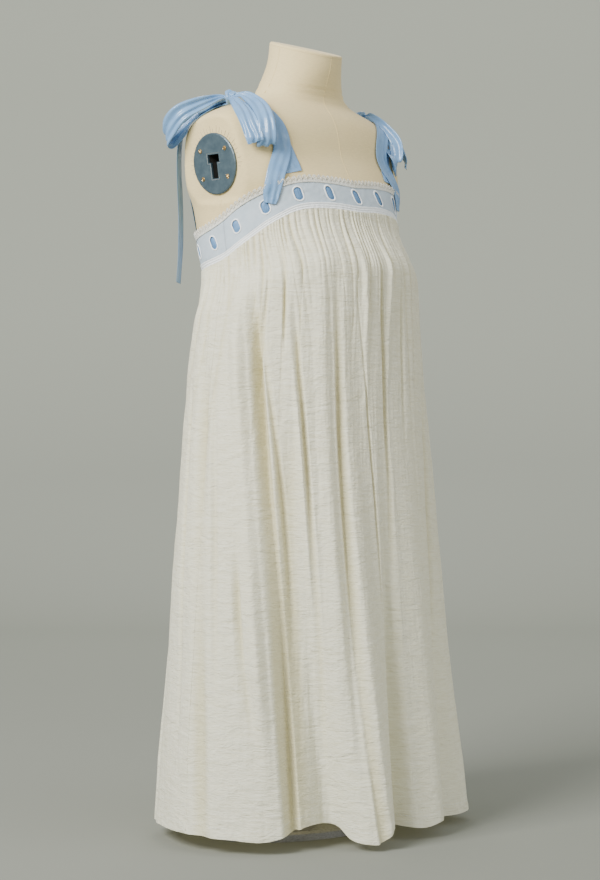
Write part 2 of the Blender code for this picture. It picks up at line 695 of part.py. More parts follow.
def skirt_point(angle, t, number):
    """Point on the skirt's outer face; t runs from the heading (0) to the hem (1)."""
    top_share = 1 + slope_share(angle, HEADING_HEIGHT + SEAM)
    top_z = band_height(angle, top_share)
    z = top_z + t * (hem_height(angle) - top_z)
    start = strip_point(angle, top_share, SKIRT_START_OUT)
    wide = read_row(SKIRT, "z", z, "wide")
    deep = read_row(SKIRT, "z", z, "deep")
    forward = read_row(SKIRT, "z", z, "forward")
    reach = oval(angle, wide, deep, SKIRT_ROUNDNESS) + fold_offset(degrees(angle), t)
    hang = Vector((reach * sin(angle), -reach * cos(angle) - forward, z))
    blend = smooth_step(t / BLEND_SHARE)
    mixed = Vector((start.x + (hang.x - start.x) * blend, start.y + (hang.y - start.y) * blend, z))
    level = Vector((sin(angle) * deep, -cos(angle) * wide, 0)).normalized()
    return mixed + level * gather_offset(number, t)


def skirt_ring(t):
    """Outer and inner points right round the skirt, from the right side seam."""
    count = GATHERS * len(GATHER_PROFILE)
    outer = [skirt_point(-pi / 2 + 2 * pi * k / count, t, k) for k in range(count)]
    inner = []
    for k, point in enumerate(outer):
        way = outer[(k + 1) % count] - outer[k - 1]
        inner.append(point + Vector((-way.y, way.x, 0)).normalized() * CLOTH)
    return outer, inner


def panel(ring, first, last):
    """Points of one panel, its two edges drawn back a little from the side seams."""
    points = [ring[k % len(ring)].copy() for k in range(first, last + 1)]
    for edge, beside in ((0, 1), (-1, -2)):
        way = (points[beside] - points[edge]).normalized()
        points[edge] += way * SIDE_SEAM_GAP / 2
    return points


def make_skirt():
    """Front and back panels, gathered under the heading, open at the hem."""
    rings = [skirt_ring(t) for t in SKIRT_ROWS]
    half = GATHERS * len(GATHER_PROFILE) // 2
    for label, first in (("front", 0), ("back", half)):
        outer = [panel(ring[0], first, first + half) for ring in rings]
        inner = [panel(ring[1], first, first + half) for ring in rings]
        wall(f"skirt_{label}", outer, inner, "gauze")


# Straps and bows
ACROSS = (-0.5, 0.0, 0.5)
KNOT_RINGS = 6
KNOT_SIDES = 10


def mirror(point, side):
    """Right-hand point, or its mirror image for the left."""
    return Vector((point.x * -side, point.y, point.z))


def form_strip(name, table, side, steps):
    """Ribbon lying on the form along a route of angles and heights, given for the right."""
    outer, inner = [], []
    stations = [dict(row, n=i) for i, row in enumerate(table)]
    for i in range(steps + 1):
        at = (len(table) - 1) * i / steps
        angle = -radians(read_row(stations, "n", at, "angle"))
        z = read_row(stations, "n", at, "z")
        width = read_row(stations, "n", at, "width")
        lift = read_row(stations, "n", at, "lift")
        nudge = 0.05
        ahead = form_point(-radians(read_row(stations, "n", at + nudge, "angle")),
                           read_row(stations, "n", at + nudge, "z"))
        behind = form_point(-radians(read_row(stations, "n", at - nudge, "angle")),
                            read_row(stations, "n", at - nudge, "z"))
        normal = form_normal(angle, z)
        across = normal.cross((ahead - behind).normalized()).normalized()
        centre = form_point(angle, z)
        low, high = [], []
        for share in ACROSS:
            point = push_out(centre + across * (width * share), normal, lift)
            low.append(mirror(point, side))
            high.append(mirror(point + normal * RIBBON, side))
        inner.append(low)
        outer.append(high)
    return wall(name, outer, inner, "satin")


def free_strip(name, table, side, steps):
    """Free ribbon along a table of places measured from the knot, given for the right."""
    stations = [dict(row, n=i) for i, row in enumerate(table)]
    centres, acrosses, widths = [], [], []
    for i in range(steps + 1):
        at = (len(table) - 1) * i / steps
        row = {key: read_row(stations, "n", at, key) for key in table[0]}
        centres.append(KNOT + Vector((-row["side"], row["back"], row["up"])))
        acrosses.append(Vector((row["ax"], row["ay"], row["az"])))
        widths.append(row["width"])
    outer, inner = [], []
    for i, centre in enumerate(centres):
        way = (centres[min(i + 1, steps)] - centres[max(i - 1, 0)]).normalized()
        across = (acrosses[i] - way * acrosses[i].dot(way)).normalized()
        normal = way.cross(across).normalized()
        low = [centre + across * (widths[i] * share) for share in ACROSS]
        inner.append([mirror(point, side) for point in low])
        outer.append([mirror(point + normal * RIBBON, side) for point in low])
    return wall(name, outer, inner, "satin")


def make_knot(name, side):
    """The tied middle of a bow."""
    rings = []
    for k in range(1, KNOT_RINGS):
        tilt = pi * k / KNOT_RINGS
        ring = []
        for i in range(KNOT_SIDES):
            a = 2 * pi * i / KNOT_SIDES
            spot = Vector((KNOT_SIZE.x * sin(tilt) * cos(a), KNOT_SIZE.y * cos(tilt),
                           KNOT_SIZE.z * sin(tilt) * sin(a)))
            ring.append(mirror(KNOT + spot, side))
        rings.append(ring)
    loft(name, rings, "satin")


def make_bows():
    """Straps over both shoulders, each tied in a bow."""
    places = (("right", -1, STRAP_FRONT_RIGHT), ("left", 1, STRAP_FRONT_LEFT))
    for label, side, strap_front in places:
        form_strip(f"strap_front_{label}", strap_front, side, 12)
        form_strip(f"strap_back_{label}", STRAP_BACK, side, 12)
        form_strip(f"tail_front_{label}", TAIL_FRONT, side, 5)
        make_knot(f"knot_{label}", side)
        free_strip(f"loop_back_{label}", LOOP_BACK, side, 14)
        free_strip(f"loop_front_{label}", LOOP_FRONT, side, 12)
        free_strip(f"loop_small_{label}", LOOP_SMALL, side, 6)
        free_strip(f"tail_back_{label}", TAIL_BACK, side, 10)


def main():
    clear_scene()
    make_form()
    make_neck_lid()
    for label, side in (("right", -1), ("left", 1)):
        make_arm_plate(side, label)
    make_stand()
    make_band()
    make_trims()
    make_skirt()
    make_bows()


main()
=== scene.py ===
"""Looks of a gathered chemise with ribbon straps on a limbless dress form.

Metres, +Z up, wearer facing -Y. An angle round the body is 0 at the centre front, positive
towards the wearer's left.
"""

import bmesh
import bpy
import numpy as np
from math import atan2, cos, pi, radians, sin
from mathutils import Matrix, Vector


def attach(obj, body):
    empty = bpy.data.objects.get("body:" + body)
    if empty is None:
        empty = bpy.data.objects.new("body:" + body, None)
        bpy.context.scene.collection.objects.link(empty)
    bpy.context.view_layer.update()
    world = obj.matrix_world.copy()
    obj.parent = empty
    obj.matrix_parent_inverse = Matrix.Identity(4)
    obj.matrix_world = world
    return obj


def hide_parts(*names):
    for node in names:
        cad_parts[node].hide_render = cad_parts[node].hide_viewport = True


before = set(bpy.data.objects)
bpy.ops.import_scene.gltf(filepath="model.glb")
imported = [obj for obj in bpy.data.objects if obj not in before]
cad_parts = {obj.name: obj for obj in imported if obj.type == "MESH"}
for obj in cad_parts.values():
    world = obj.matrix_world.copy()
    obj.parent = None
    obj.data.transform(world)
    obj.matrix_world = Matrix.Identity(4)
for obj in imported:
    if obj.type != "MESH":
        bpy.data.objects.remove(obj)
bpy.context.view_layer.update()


def table(columns, *rows):
    """Rows of numbers as dictionaries, each value under its column's name."""
    return tuple(dict(zip(columns.split(), row)) for row in rows)


# Photograph's view
VIEW_AZIMUTH = -45.0
VIEW_DISTANCE = 3.2
VIEW_SIDE = -0.00775
VIEW_HEIGHT = 0.596
VIEW_LENS = 84.5

# Body and band sizes, as in the part's source
GAP = 0.0003
SEAM = 0.0006
CLOTH = 0.0010
RIBBON = 0.0010
RIBBON_WIDTH = 0.036
HEADING_HEIGHT = 0.008
CASING_OFFSET = 0.0009
BAND_OFFSET = CASING_OFFSET + RIBBON + GAP
BAND_OUT = BAND_OFFSET + CLOTH
EYELETS = 18
EYELET_START = 0.001
SKIRT_START_OUT = BAND_OFFSET + 0.0026
SKIRT_ROUNDNESS = 2.15
BLEND_SHARE = 0.10
FOLD_SPAN = 1.15
ARM_PLANE_X = 0.170
ARM_PLANE_HEIGHT = 1.010
ARM_PLANE_LEAN = 0.16
ARM_PLANE_LOW = 0.957
PLATE_RADIUS = 0.046
PLATE_THICKNESS = 0.004
PLATE_BACK = 0.019
SCREW_CIRCLE = 0.034
SCREW_TURNS = (52, 128, 232, 308)
KEY_WIDE = 0.012
KEY_NARROW = 0.0065
KEY_TOP = 0.014
KEY_STEP = 0.002
KEY_BOTTOM = -0.022
KEY_POCKET_DEPTH = 0.022
NECK_TILT = 0.33
NECK_BASE = 1.130
NECK_TOP = 1.204
FORM_TOP = 1.198

# Dress form sections: half width, depth in front and behind, roundness of each half, and
# how far the section lies behind the axis
FORM = table(
    "z wide front back round_front round_back shift",
    (0.420, 0.100, 0.080, 0.085, 2.2, 2.2, 0.0),
    (0.436, 0.138, 0.106, 0.112, 2.2, 2.2, 0.0),
    (0.500, 0.156, 0.112, 0.124, 2.2, 2.2, 0.0),
    (0.600, 0.148, 0.106, 0.118, 2.2, 2.2, 0.0),
    (0.700, 0.124, 0.094, 0.098, 2.2, 2.2, 0.0),
    (0.800, 0.142, 0.112, 0.110, 2.2, 2.3, 0.005),
    (0.870, 0.158, 0.126, 0.124, 2.2, 2.5, 0.009),
    (0.915, 0.162, 0.128, 0.127, 2.2, 2.6, 0.012),
    (0.952, 0.167, 0.122, 0.129, 2.2, 2.7, 0.013),
    (0.985, 0.184, 0.112, 0.128, 2.2, 2.7, 0.013),
    (1.025, 0.196, 0.092, 0.119, 2.2, 2.6, 0.013),
    (1.060, 0.194, 0.084, 0.114, 2.2, 2.6, 0.013),
    (1.078, 0.184, 0.078, 0.106, 2.2, 2.5, 0.013),
    (1.092, 0.163, 0.070, 0.095, 2.2, 2.5, 0.013),
    (1.102, 0.138, 0.062, 0.084, 2.2, 2.4, 0.013),
    (1.112, 0.104, 0.054, 0.075, 2.2, 2.3, 0.012),
    (1.124, 0.080, 0.051, 0.068, 2.2, 2.2, 0.010),
    (1.145, 0.067, 0.053, 0.063, 2.1, 2.1, 0.006),
    (1.172, 0.059, 0.055, 0.057, 2.0, 2.0, 0.001),
    (1.200, 0.056, 0.056, 0.056, 2.0, 2.0, -0.002),
)

# Height of the band's upper and lower edge round one half of the body
BAND_LINE = table(
    "angle top bottom",
    (0, 0.978, 0.948),
    (25, 0.981, 0.950),
    (45, 0.979, 0.945),
    (60, 0.966, 0.925),
    (75, 0.946, 0.898),
    (90, 0.922, 0.876),
    (108, 0.907, 0.866),
    (130, 0.900, 0.862),
    (180, 0.897, 0.860),
)

# Skirt sections without folds: half width, half depth, how far forward the centre lies
SKIRT = table(
    "z wide deep forward",
    (0.000, 0.255, 0.191, 0.016),
    (0.125, 0.247, 0.185, 0.013),
    (0.250, 0.238, 0.177, 0.010),
    (0.400, 0.228, 0.168, 0.008),
    (0.535, 0.216, 0.158, 0.007),
    (0.627, 0.208, 0.151, 0.007),
    (0.775, 0.192, 0.146, 0.008),
    (0.860, 0.180, 0.143, 0.010),
    (0.930, 0.172, 0.138, 0.010),
    (0.980, 0.170, 0.134, 0.010),
)

# Large folds: angle at the band and at the hem, half width at the hem in degrees, how far
# the fold stands out (or in) at the hem, and the share of the skirt where it starts
FOLDS = table(
    "top hem half out start",
    (-82, -80, 34, 0.012, 0.10),
    (-70, -39, 14, -0.042, 0.05),
    (-28, -17, 13, 0.036, 0.18),
    (2, 0, 8, -0.030, 0.22),
    (22, 20, 14, 0.016, 0.30),
    (44, 41, 9, -0.022, 0.30),
    (58, 58, 12, 0.015, 0.35),
    (76, 79, 10, -0.022, 0.30),
    (96, 98, 13, 0.014, 0.30),
    (114, 117, 10, -0.024, 0.35),
    (133, 136, 13, 0.015, 0.30),
    (152, 153, 9, -0.020, 0.40),
    (168, 170, 12, 0.016, 0.30),
    (186, 188, 10, -0.026, 0.30),
    (206, 207, 13, 0.014, 0.35),
    (228, 226, 10, -0.020, 0.30),
    (246, 243, 10, 0.008, 0.40),
)

# Creases listed one by one: angle where it starts, half way and where it ends, shares of the
# skirt where it starts and ends, half width in degrees, how far it stands out (or in), and
# how steep its right side is (1 is even)
CREASES = table(
    "start middle end first last half out steep",
    (-74, -60, -51, 0.02, 1.05, 4.6, -0.0175, 2.0),
    (-73, -59, -52, 0.05, 0.75, 1.4, -0.0055, 0.6),
    (-81, -69, -60, 0.04, 0.95, 5.5, 0.0095, 1.6),
    (-91, -83, -78, 0.08, 0.90, 1.8, -0.0030, 0.7),
    (-96, -89, -83, 0.10, 1.00, 5.0, -0.0060, 1.0),
    (-106, -101, -97, 0.12, 0.90, 2.2, -0.0040, 1.0),
    (-64, -66, -68, 0.03, 0.26, 1.6, -0.0040, 1.0),
    (-58, -57, -56, 0.02, 0.24, 1.3, -0.0040, 1.0),
    (-56, -44, -38, 0.04, 0.95, 3.0, -0.0055, 1.8),
    (-53, -48, -44, 0.20, 0.66, 2.6, 0.0050, 1.5),
    (-54, -54, -48, 0.32, 1.05, 7.0, -0.0090, 1.0),
    (-39, -34, -24, 0.03, 1.05, 7.0, 0.0090, 1.4),
    (-30, -27, -18, 0.03, 1.00, 2.6, -0.0080, 0.6),
    (-20, -8, -7, 0.05, 0.75, 1.5, -0.0035, 1.5),
    (-12, -10, -12, 0.03, 0.35, 3.0, 0.0040, 1.0),
    (2, 6, 4, 0.03, 0.62, 2.8, -0.0070, 1.4),
    (14, 10, 8, 0.01, 0.30, 2.4, 0.0040, 1.6),
    (-74, -71, -67, 0.50, 0.82, 2.6, -0.0050, 1.6),
    (-68, -66, -63, 0.70, 0.90, 2.6, -0.0030, 1.0),
    (50, 41, 30, 0.20, 1.05, 3.2, -0.0080, 0.7),
    (24, 22, 22, 0.02, 0.42, 1.8, -0.0040, 1.0),
)

# Height of the hem round the skirt
HEM = table(
    "angle high",
    (-180, 0.0200),
    (-135, 0.0180),
    (-110, 0.0220),
    (-85, 0.0240),
    (-72, 0.0220),
    (-62, 0.0200),
    (-55, 0.0260),
    (-48, 0.0360),
    (-38, 0.0360),
    (-33, 0.0320),
    (-29, 0.0160),
    (-24, 0.0115),
    (-18, 0.0130),
    (-12, 0.0280),
    (-4, 0.0300),
    (4, 0.0220),
    (12, 0.0180),
    (21, 0.0240),
    (35, 0.0180),
    (48, 0.0160),
    (70, 0.0180),
    (120, 0.0170),
    (180, 0.0200),
)


# Numbers
def curve(rows, key, at, column):
    """Values of a column at many places along a table, on a smooth curve through its rows."""
    keys = np.array([row[key] for row in rows], float)
    values = np.array([row[column] for row in rows], float)
    slopes = np.empty_like(values)
    slopes[1:-1] = (values[2:] - values[:-2]) / (keys[2:] - keys[:-2])
    slopes[0] = (values[1] - values[0]) / (keys[1] - keys[0])
    slopes[-1] = (values[-1] - values[-2]) / (keys[-1] - keys[-2])
    at = np.clip(np.asarray(at, float), keys[0], keys[-1])
    i = np.clip(np.searchsorted(keys, at, side="right") - 1, 0, len(keys) - 2)
    span = keys[i + 1] - keys[i]
    s = (at - keys[i]) / span
    s2, s3 = s * s, s ** 3
    return ((2 * s3 - 3 * s2 + 1) * values[i] + (s3 - 2 * s2 + s) * slopes[i] * span
            + (3 * s2 - 2 * s3) * values[i + 1] + (s3 - s2) * slopes[i + 1] * span)


def soft(value):
    """Soft ramp from 0 to 1."""
    value = np.clip(value, 0.0, 1.0)
    return value * value * (3 - 2 * value)


def wrapped(angle):
    """Angle in degrees between -180 and 180."""
    return (angle + 180.0) % 360.0 - 180.0


def noise(x, y, seed, turn=64):
    """Soft random values between -1 and 1; x repeats after turn whole steps."""
    table = np.random.default_rng(seed).uniform(-1, 1, (turn, 64))
    xf, yf = np.floor(x), np.floor(y)
    sx, sy = soft(x - xf), soft(y - yf)
    x0, y0 = xf.astype(int) % turn, yf.astype(int) % 64
    x1, y1 = (x0 + 1) % turn, (y0 + 1) % 64
    low = table[x0, y0] * (1 - sx) + table[x1, y0] * sx
    high = table[x0, y1] * (1 - sx) + table[x1, y1] * sx
    return low * (1 - sy) + high * sy


# Dress form surface
def oval(angle, wide, deep, roundness):
    """Distance from the centre of a rounded oval to its edge."""
    across = np.abs(np.sin(angle) / wide) ** roundness
    along = np.abs(np.cos(angle) / deep) ** roundness
    return (across + along) ** (-1.0 / roundness)


def form_points(angle, z, out=0.0):
    """Points of the dress form's surface, or ones moved out level from it."""
    angle, z = np.broadcast_arrays(np.asarray(angle, float), np.asarray(z, float))
    front = np.cos(angle) >= 0.0
    depth = np.where(front, curve(FORM, "z", z, "front"), curve(FORM, "z", z, "back"))
    roundness = np.where(front, curve(FORM, "z", z, "round_front"), curve(FORM, "z", z, "round_back"))
    reach = oval(angle, curve(FORM, "z", z, "wide"), depth, roundness)
    limit = ARM_PLANE_X + ARM_PLANE_LEAN * (z - ARM_PLANE_HEIGHT) + np.maximum(0.0, ARM_PLANE_LOW - z)
    side = np.maximum(np.abs(reach * np.sin(angle)), 1e-9)
    reach = np.where(side > limit, reach * limit / side, reach) + out
    shift = curve(FORM, "z", z, "shift")
    return np.stack([reach * np.sin(angle), -reach * np.cos(angle) + shift, z], axis=-1)


def unit(vectors):
    """Vectors of length 1."""
    return vectors / np.maximum(np.linalg.norm(vectors, axis=-1, keepdims=True), 1e-12)


def form_normals(angle, z):
    """Outward directions of the dress form's surface."""
    round_way = form_points(angle + 0.02, z) - form_points(angle - 0.02, z)
    up_way = form_points(angle, z + 0.002) - form_points(angle, z - 0.002)
    return unit(np.cross(round_way, up_way))


def arm_plane(z):
    """Distance from the middle to the flat armhole plane."""
    return ARM_PLANE_X + ARM_PLANE_LEAN * (z - ARM_PLANE_HEIGHT) + max(0.0, ARM_PLANE_LOW - z)


def arm_frame(side):
    """Matrix of an armhole plate: X forward, Y up in the plane, Z out from the body."""
    up = Vector((side * ARM_PLANE_LEAN, 0, 1)).normalized()
    forward = Vector((0, -1, 0))
    out = forward.cross(up)
    out = out if out.x * side > 0 else -out
    matrix = Matrix((forward, up, out)).transposed().to_4x4()
    matrix.translation = Vector((side * arm_plane(ARM_PLANE_HEIGHT), PLATE_BACK, ARM_PLANE_HEIGHT))
    return matrix


# Band surface
def band_heights(angle, share):
    """Heights on the band, from its upper edge (0) to its lower edge (1)."""
    turn = np.abs(wrapped(np.degrees(angle)))
    top = curve(BAND_LINE, "angle", turn, "top")
    bottom = curve(BAND_LINE, "angle", turn, "bottom")
    return top + (bottom - top) * share


def band_depth(angle):
    """Distance from the band's upper edge down to its lower edge."""
    return band_heights(angle, 0.0) - band_heights(angle, 1.0)


def strip_points(angle, share, out):
    """Points on the strip round the chest; share may pass 0 and 1 for its neighbours."""
    angle, share = np.broadcast_arrays(np.asarray(angle, float), np.asarray(share, float))
    z = band_heights(angle, share)
    normal = form_normals(angle, z)
    flat = normal.copy()
    flat[..., 2] = 0.0
    flat = unit(flat)
    lean = np.maximum(0.75, np.sum(normal * flat, axis=-1))
    return form_points(angle, z) + flat * (np.asarray(out, float) / lean)[..., None]


def slope_shares(angle, length):
    """Share of the band's height that a length in metres takes."""
    return length / band_depth(angle)


def band_arcs(steps=1440):
    """Angles round the band and the length of band up to each."""
    angles = np.linspace(-pi, pi, steps + 1)
    points = strip_points(angles, 0.5, BAND_OFFSET)
    lengths = np.concatenate([[0.0], np.cumsum(np.linalg.norm(np.diff(points, axis=0), axis=1))])
    return angles, lengths


ARC_ANGLES, ARC_LENGTHS = band_arcs()
GIRTH = ARC_LENGTHS[-1]


def angle_at(length):
    """Angle on the band at a length measured from the centre front."""
    return np.interp((np.asarray(length) + GIRTH / 2) % GIRTH, ARC_LENGTHS, ARC_ANGLES)


# Objects
def put(name, points, faces, material, body="root", smooth=True):
    """Mesh object from points and faces, riding on a body."""
    mesh = bpy.data.meshes.new(name)
    mesh.from_pydata([tuple(p) for p in points], [], faces)
    mesh.materials.append(material)
    if smooth:
        mesh.shade_smooth()
    item = bpy.data.objects.new(name, mesh)
    bpy.context.collection.objects.link(item)
    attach(item, body)
    return item


def grid_faces(rows, columns, closed=False, shift=0):
    """Four-sided faces of a grid of points."""
    last = columns if closed else columns - 1
    faces = []
    for r in range(rows - 1):
        for c in range(last):
            n = (c + 1) % columns
            faces.append((shift + r * columns + c, shift + (r + 1) * columns + c,
                          shift + (r + 1) * columns + n, shift + r * columns + n))
    return faces


def thicken(item, thickness, offset=-1.0):
    """Give a sheet a thickness, inwards (-1) or to both sides (0)."""
    solid = item.modifiers.new("thickness", "SOLIDIFY")
    solid.thickness = thickness
    solid.offset = offset


def grid_object(name, grid, material, closed=False, thick=0.0):
    """Sheet through a grid of points, made solid inwards where thick is given."""
    rows, columns = grid.shape[:2]
    item = put(name, grid.reshape(-1, 3), grid_faces(rows, columns, closed), material)
    if thick:
        thicken(item, thick)
    return item


def finish_piece(item, slot, *nodes):
    """Hide the part's nodes that a piece stands for; the finish it is given is not used."""
    if nodes:
        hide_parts(*nodes)
    return item


# Materials
def add_node(tree, kind, values=None, **settings):
    """Shader node with some of its inputs and settings given."""
    made = tree.nodes.new(kind)
    for name, value in settings.items():
        setattr(made, name, value)
    for name, value in (values or {}).items():
        made.inputs[name].default_value = value
    return made


def surface(name, colour, roughness, metallic=0.0, values=None):
    """Material with one Principled shader; returns it, its tree and the shader."""
    made = bpy.data.materials.new(name)
    made.use_nodes = True
    tree = made.node_tree
    shader = tree.nodes["Principled BSDF"]
    shader.inputs["Base Color"].default_value = (*colour, 1.0)
    shader.inputs["Roughness"].default_value = roughness
    shader.inputs["Metallic"].default_value = metallic
    for key, value in (values or {}).items():
        shader.inputs[key].default_value = value
    return made, tree, shader


def texture(tree, scale, detail=3.0, rough=0.5, distortion=0.0, turn=(0.0, 0.0, 0.0)):
    """Noise over the object's own coordinates, stretched by a scale for each axis."""
    place = add_node(tree, "ShaderNodeTexCoord")
    stretch = add_node(tree, "ShaderNodeMapping", {"Scale": scale, "Rotation": turn})
    pattern = add_node(tree, "ShaderNodeTexNoise",
                       {"Scale": 1.0, "Detail": detail, "Roughness": rough, "Distortion": distortion})
    tree.links.new(place.outputs["Object"], stretch.inputs["Vector"])
    tree.links.new(stretch.outputs["Vector"], pattern.inputs["Vector"])
    return pattern.outputs["Fac"]


def ramp(tree, source, stops):
    """Colour ramp from (place, colour) stops."""
    made = add_node(tree, "ShaderNodeValToRGB")
    elements = made.color_ramp.elements
    while len(elements) < len(stops):
        elements.new(0.5)
    for element, (place, colour) in zip(elements, stops):
        element.position = place
        element.color = (*colour, 1.0)
    tree.links.new(source, made.inputs["Fac"])
    return made.outputs["Color"]


def add_bumps(tree, shader, layers):
    """Chain of bumps from (source, strength, depth in metres) into a shader's normal."""
    last = None
    for source, strength, depth in layers:
        bump = add_node(tree, "ShaderNodeBump", {"Strength": strength, "Distance": depth})
        tree.links.new(source, bump.inputs["Height"])
        if last is not None:
            tree.links.new(last, bump.inputs["Normal"])
        last = bump.outputs["Normal"]
    tree.links.new(last, shader.inputs["Normal"])
    return last


def add_glow(tree, shader, colour, share, normal=None):
    """Let a share of the light through a thin cloth."""
    through = add_node(tree, "ShaderNodeBsdfTranslucent", {"Color": (*colour, 1.0)})
    mix = add_node(tree, "ShaderNodeMixShader", {"Fac": share})
    output = tree.nodes["Material Output"]
    if normal is not None:
        tree.links.new(normal, through.inputs["Normal"])
    tree.links.new(shader.outputs["BSDF"], mix.inputs[1])
    tree.links.new(through.outputs["BSDF"], mix.inputs[2])
    tree.links.new(mix.outputs["Shader"], output.inputs["Surface"])


# Painted shade: colour multiplied into the gauze where it lies deep between gathers
VALLEY_PAINTED_SHADE = (0.87, 0.84, 0.72)


def gauze_material():
    """Crinkled ivory gauze with slubs across its width, and painted shade in the valleys between gathers."""
    made, tree, shader = surface("ivory_gauze", (0.82, 0.81, 0.73), 0.88,
                                 values={"Sheen Weight": 0.25, "Sheen Roughness": 0.5,
                                         "Specular IOR Level": 0.25})
    slubs = texture(tree, (38.0, 38.0, 760.0), detail=4.0, rough=0.6, distortion=0.2)
    crinkle = texture(tree, (105.0, 105.0, 300.0), detail=3.0, rough=0.55, distortion=0.9)
    swell = texture(tree, (22.0, 22.0, 48.0), detail=3.0, distortion=1.2)
    tint = ramp(tree, slubs, ((0.32, (0.840, 0.815, 0.610)), (0.60, (0.945, 0.940, 0.775))))
    # Painted shade: darker, warmer colour in the valleys, by how deep the cloth lies there
    painted_valley_shade = add_node(tree, "ShaderNodeAttribute", attribute_name="painted_valley_shade")
    shaded = add_node(tree, "ShaderNodeMix", data_type="RGBA", blend_type="MULTIPLY")
    shaded.inputs["B"].default_value = (*VALLEY_PAINTED_SHADE, 1.0)
    tree.links.new(painted_valley_shade.outputs["Fac"], shaded.inputs["Factor"])
    tree.links.new(tint, shaded.inputs["A"])
    tree.links.new(shaded.outputs["Result"], shader.inputs["Base Color"])
    normal = add_bumps(tree, shader, ((swell, 0.55, 0.0060), (crinkle, 0.75, 0.0019), (slubs, 0.60, 0.0009)))
    add_glow(tree, shader, (0.88, 0.82, 0.62), 0.24, normal)
    return made


def plain_cloth_material(name, dark, light, weave=1500.0, glow=0.12):
    """Fine woven cotton with a faint mottle."""
    made, tree, shader = surface(name, light, 0.85, values={"Sheen Weight": 0.2, "Specular IOR Level": 0.3})
    mottle = texture(tree, (90.0, 90.0, 90.0), detail=3.0)
    threads = texture(tree, (weave, weave, weave), detail=1.0)
    tree.links.new(ramp(tree, mottle, ((0.3, dark), (0.7, light))), shader.inputs["Base Color"])
    normal = add_bumps(tree, shader, ((mottle, 0.25, 0.0008), (threads, 0.45, 0.0003)))
    if glow:
        add_glow(tree, shader, light, glow, normal)
    return made


def satin_material(name, dark, light, roughness, gloss):
    """Blue satin ribbon with fine threads and soft wrinkles."""
    made, tree, shader = surface(name, light, roughness,
                                 values={"Sheen Weight": 0.35, "Sheen Roughness": 0.35,
                                         "Specular IOR Level": gloss, "Anisotropic": 0.4})
    mottle = texture(tree, (60.0, 60.0, 60.0), detail=2.0)
    threads = texture(tree, (900.0, 900.0, 900.0), detail=1.0)
    wrinkle = texture(tree, (55.0, 55.0, 90.0), detail=3.0, distortion=0.6)
    tint = ramp(tree, mottle, ((0.25, dark), (0.75, light)))
    tree.links.new(tint, shader.inputs["Base Color"])
    normal = add_bumps(tree, shader, ((wrinkle, 0.28, 0.0020), (threads, 0.25, 0.0001)))
    add_glow(tree, shader, (0.24, 0.46, 0.74), 0.12, normal)
    return made


def linen_material():
    """Natural linen cover with a visible weave and a few slubs."""
    made, tree, shader = surface("natural_linen", (0.69, 0.61, 0.36), 0.82,
                                 values={"Sheen Weight": 0.15, "Specular IOR Level": 0.3})
    across = texture(tree, (150.0, 150.0, 1400.0), detail=2.0)
    upright = texture(tree, (1300.0, 1300.0, 160.0), detail=2.0)
    patches = texture(tree, (9.0, 9.0, 9.0), detail=3.0)
    tint = ramp(tree, patches, ((0.25, (0.735, 0.590, 0.300)), (0.75, (0.790, 0.655, 0.355))))
    shade = ramp(tree, across, ((0.35, (0.88, 0.88, 0.88)), (0.6, (1.0, 1.0, 1.0))))
    mixed = add_node(tree, "ShaderNodeMix", data_type="RGBA", blend_type="MULTIPLY")
    mixed.inputs["Factor"].default_value = 0.7
    tree.links.new(tint, mixed.inputs["A"])
    tree.links.new(shade, mixed.inputs["B"])
    tree.links.new(mixed.outputs["Result"], shader.inputs["Base Color"])
    add_bumps(tree, shader, ((across, 0.35, 0.0003), (upright, 0.3, 0.0003)))
    return made


def enamel_material():
    """Slate-blue enamel on the armhole plates, a little worn."""
    made, tree, shader = surface("slate_enamel", (0.066, 0.108, 0.138), 0.33, metallic=0.35,
                                 values={"Coat Weight": 0.25, "Coat Roughness": 0.3})
    wear = texture(tree, (70.0, 70.0, 70.0), detail=5.0, rough=0.7)
    grain = texture(tree, (700.0, 700.0, 700.0), detail=2.0)
    tint = ramp(tree, wear, ((0.3, (0.050, 0.084, 0.110)), (0.72, (0.092, 0.138, 0.165))))
    rough = ramp(tree, wear, ((0.3, (0.30, 0.30, 0.30)), (0.75, (0.50, 0.50, 0.50))))
    tree.links.new(tint, shader.inputs["Base Color"])
    tree.links.new(rough, shader.inputs["Roughness"])
    add_bumps(tree, shader, ((wear, 0.12, 0.0006), (grain, 0.15, 0.0001)))
    return made


def metal_material(name, dark, light, roughness):
    """Bare metal with a soft grain."""
    made, tree, shader = surface(name, light, roughness, metallic=1.0)
    grain = texture(tree, (260.0, 260.0, 900.0), detail=3.0)
    tree.links.new(ramp(tree, grain, ((0.3, dark), (0.7, light))), shader.inputs["Base Color"])
    add_bumps(tree, shader, ((grain, 0.2, 0.0001),))
    return made


GAUZE = gauze_material()
INSERTION = plain_cloth_material("pale_insertion", (0.52, 0.62, 0.70), (0.59, 0.68, 0.75))
LACE = plain_cloth_material("cotton_lace", (0.80, 0.79, 0.70), (0.90, 0.90, 0.84))
THREAD = plain_cloth_material("white_thread", (0.86, 0.89, 0.90), (0.92, 0.95, 0.96), glow=0.0)
# Darker than the linen, as painted shade in the small tucks round the armhole plates
TUCK_PAINTED_SHADE = plain_cloth_material("tuck_painted_shade", (0.36, 0.31, 0.21), (0.44, 0.38, 0.27), glow=0.0)
SATIN = satin_material("blue_satin", (0.165, 0.335, 0.585), (0.225, 0.415, 0.665), 0.27, 0.75)
# Same blue ribbon as the bows, rougher, and coloured darker as painted shade where it lies behind the band
CASING_SATIN_PAINTED_SHADE = satin_material("casing_satin_painted_shade", (0.12, 0.26, 0.48), (0.17, 0.33, 0.56), 0.45, 0.35)
LINEN = linen_material()
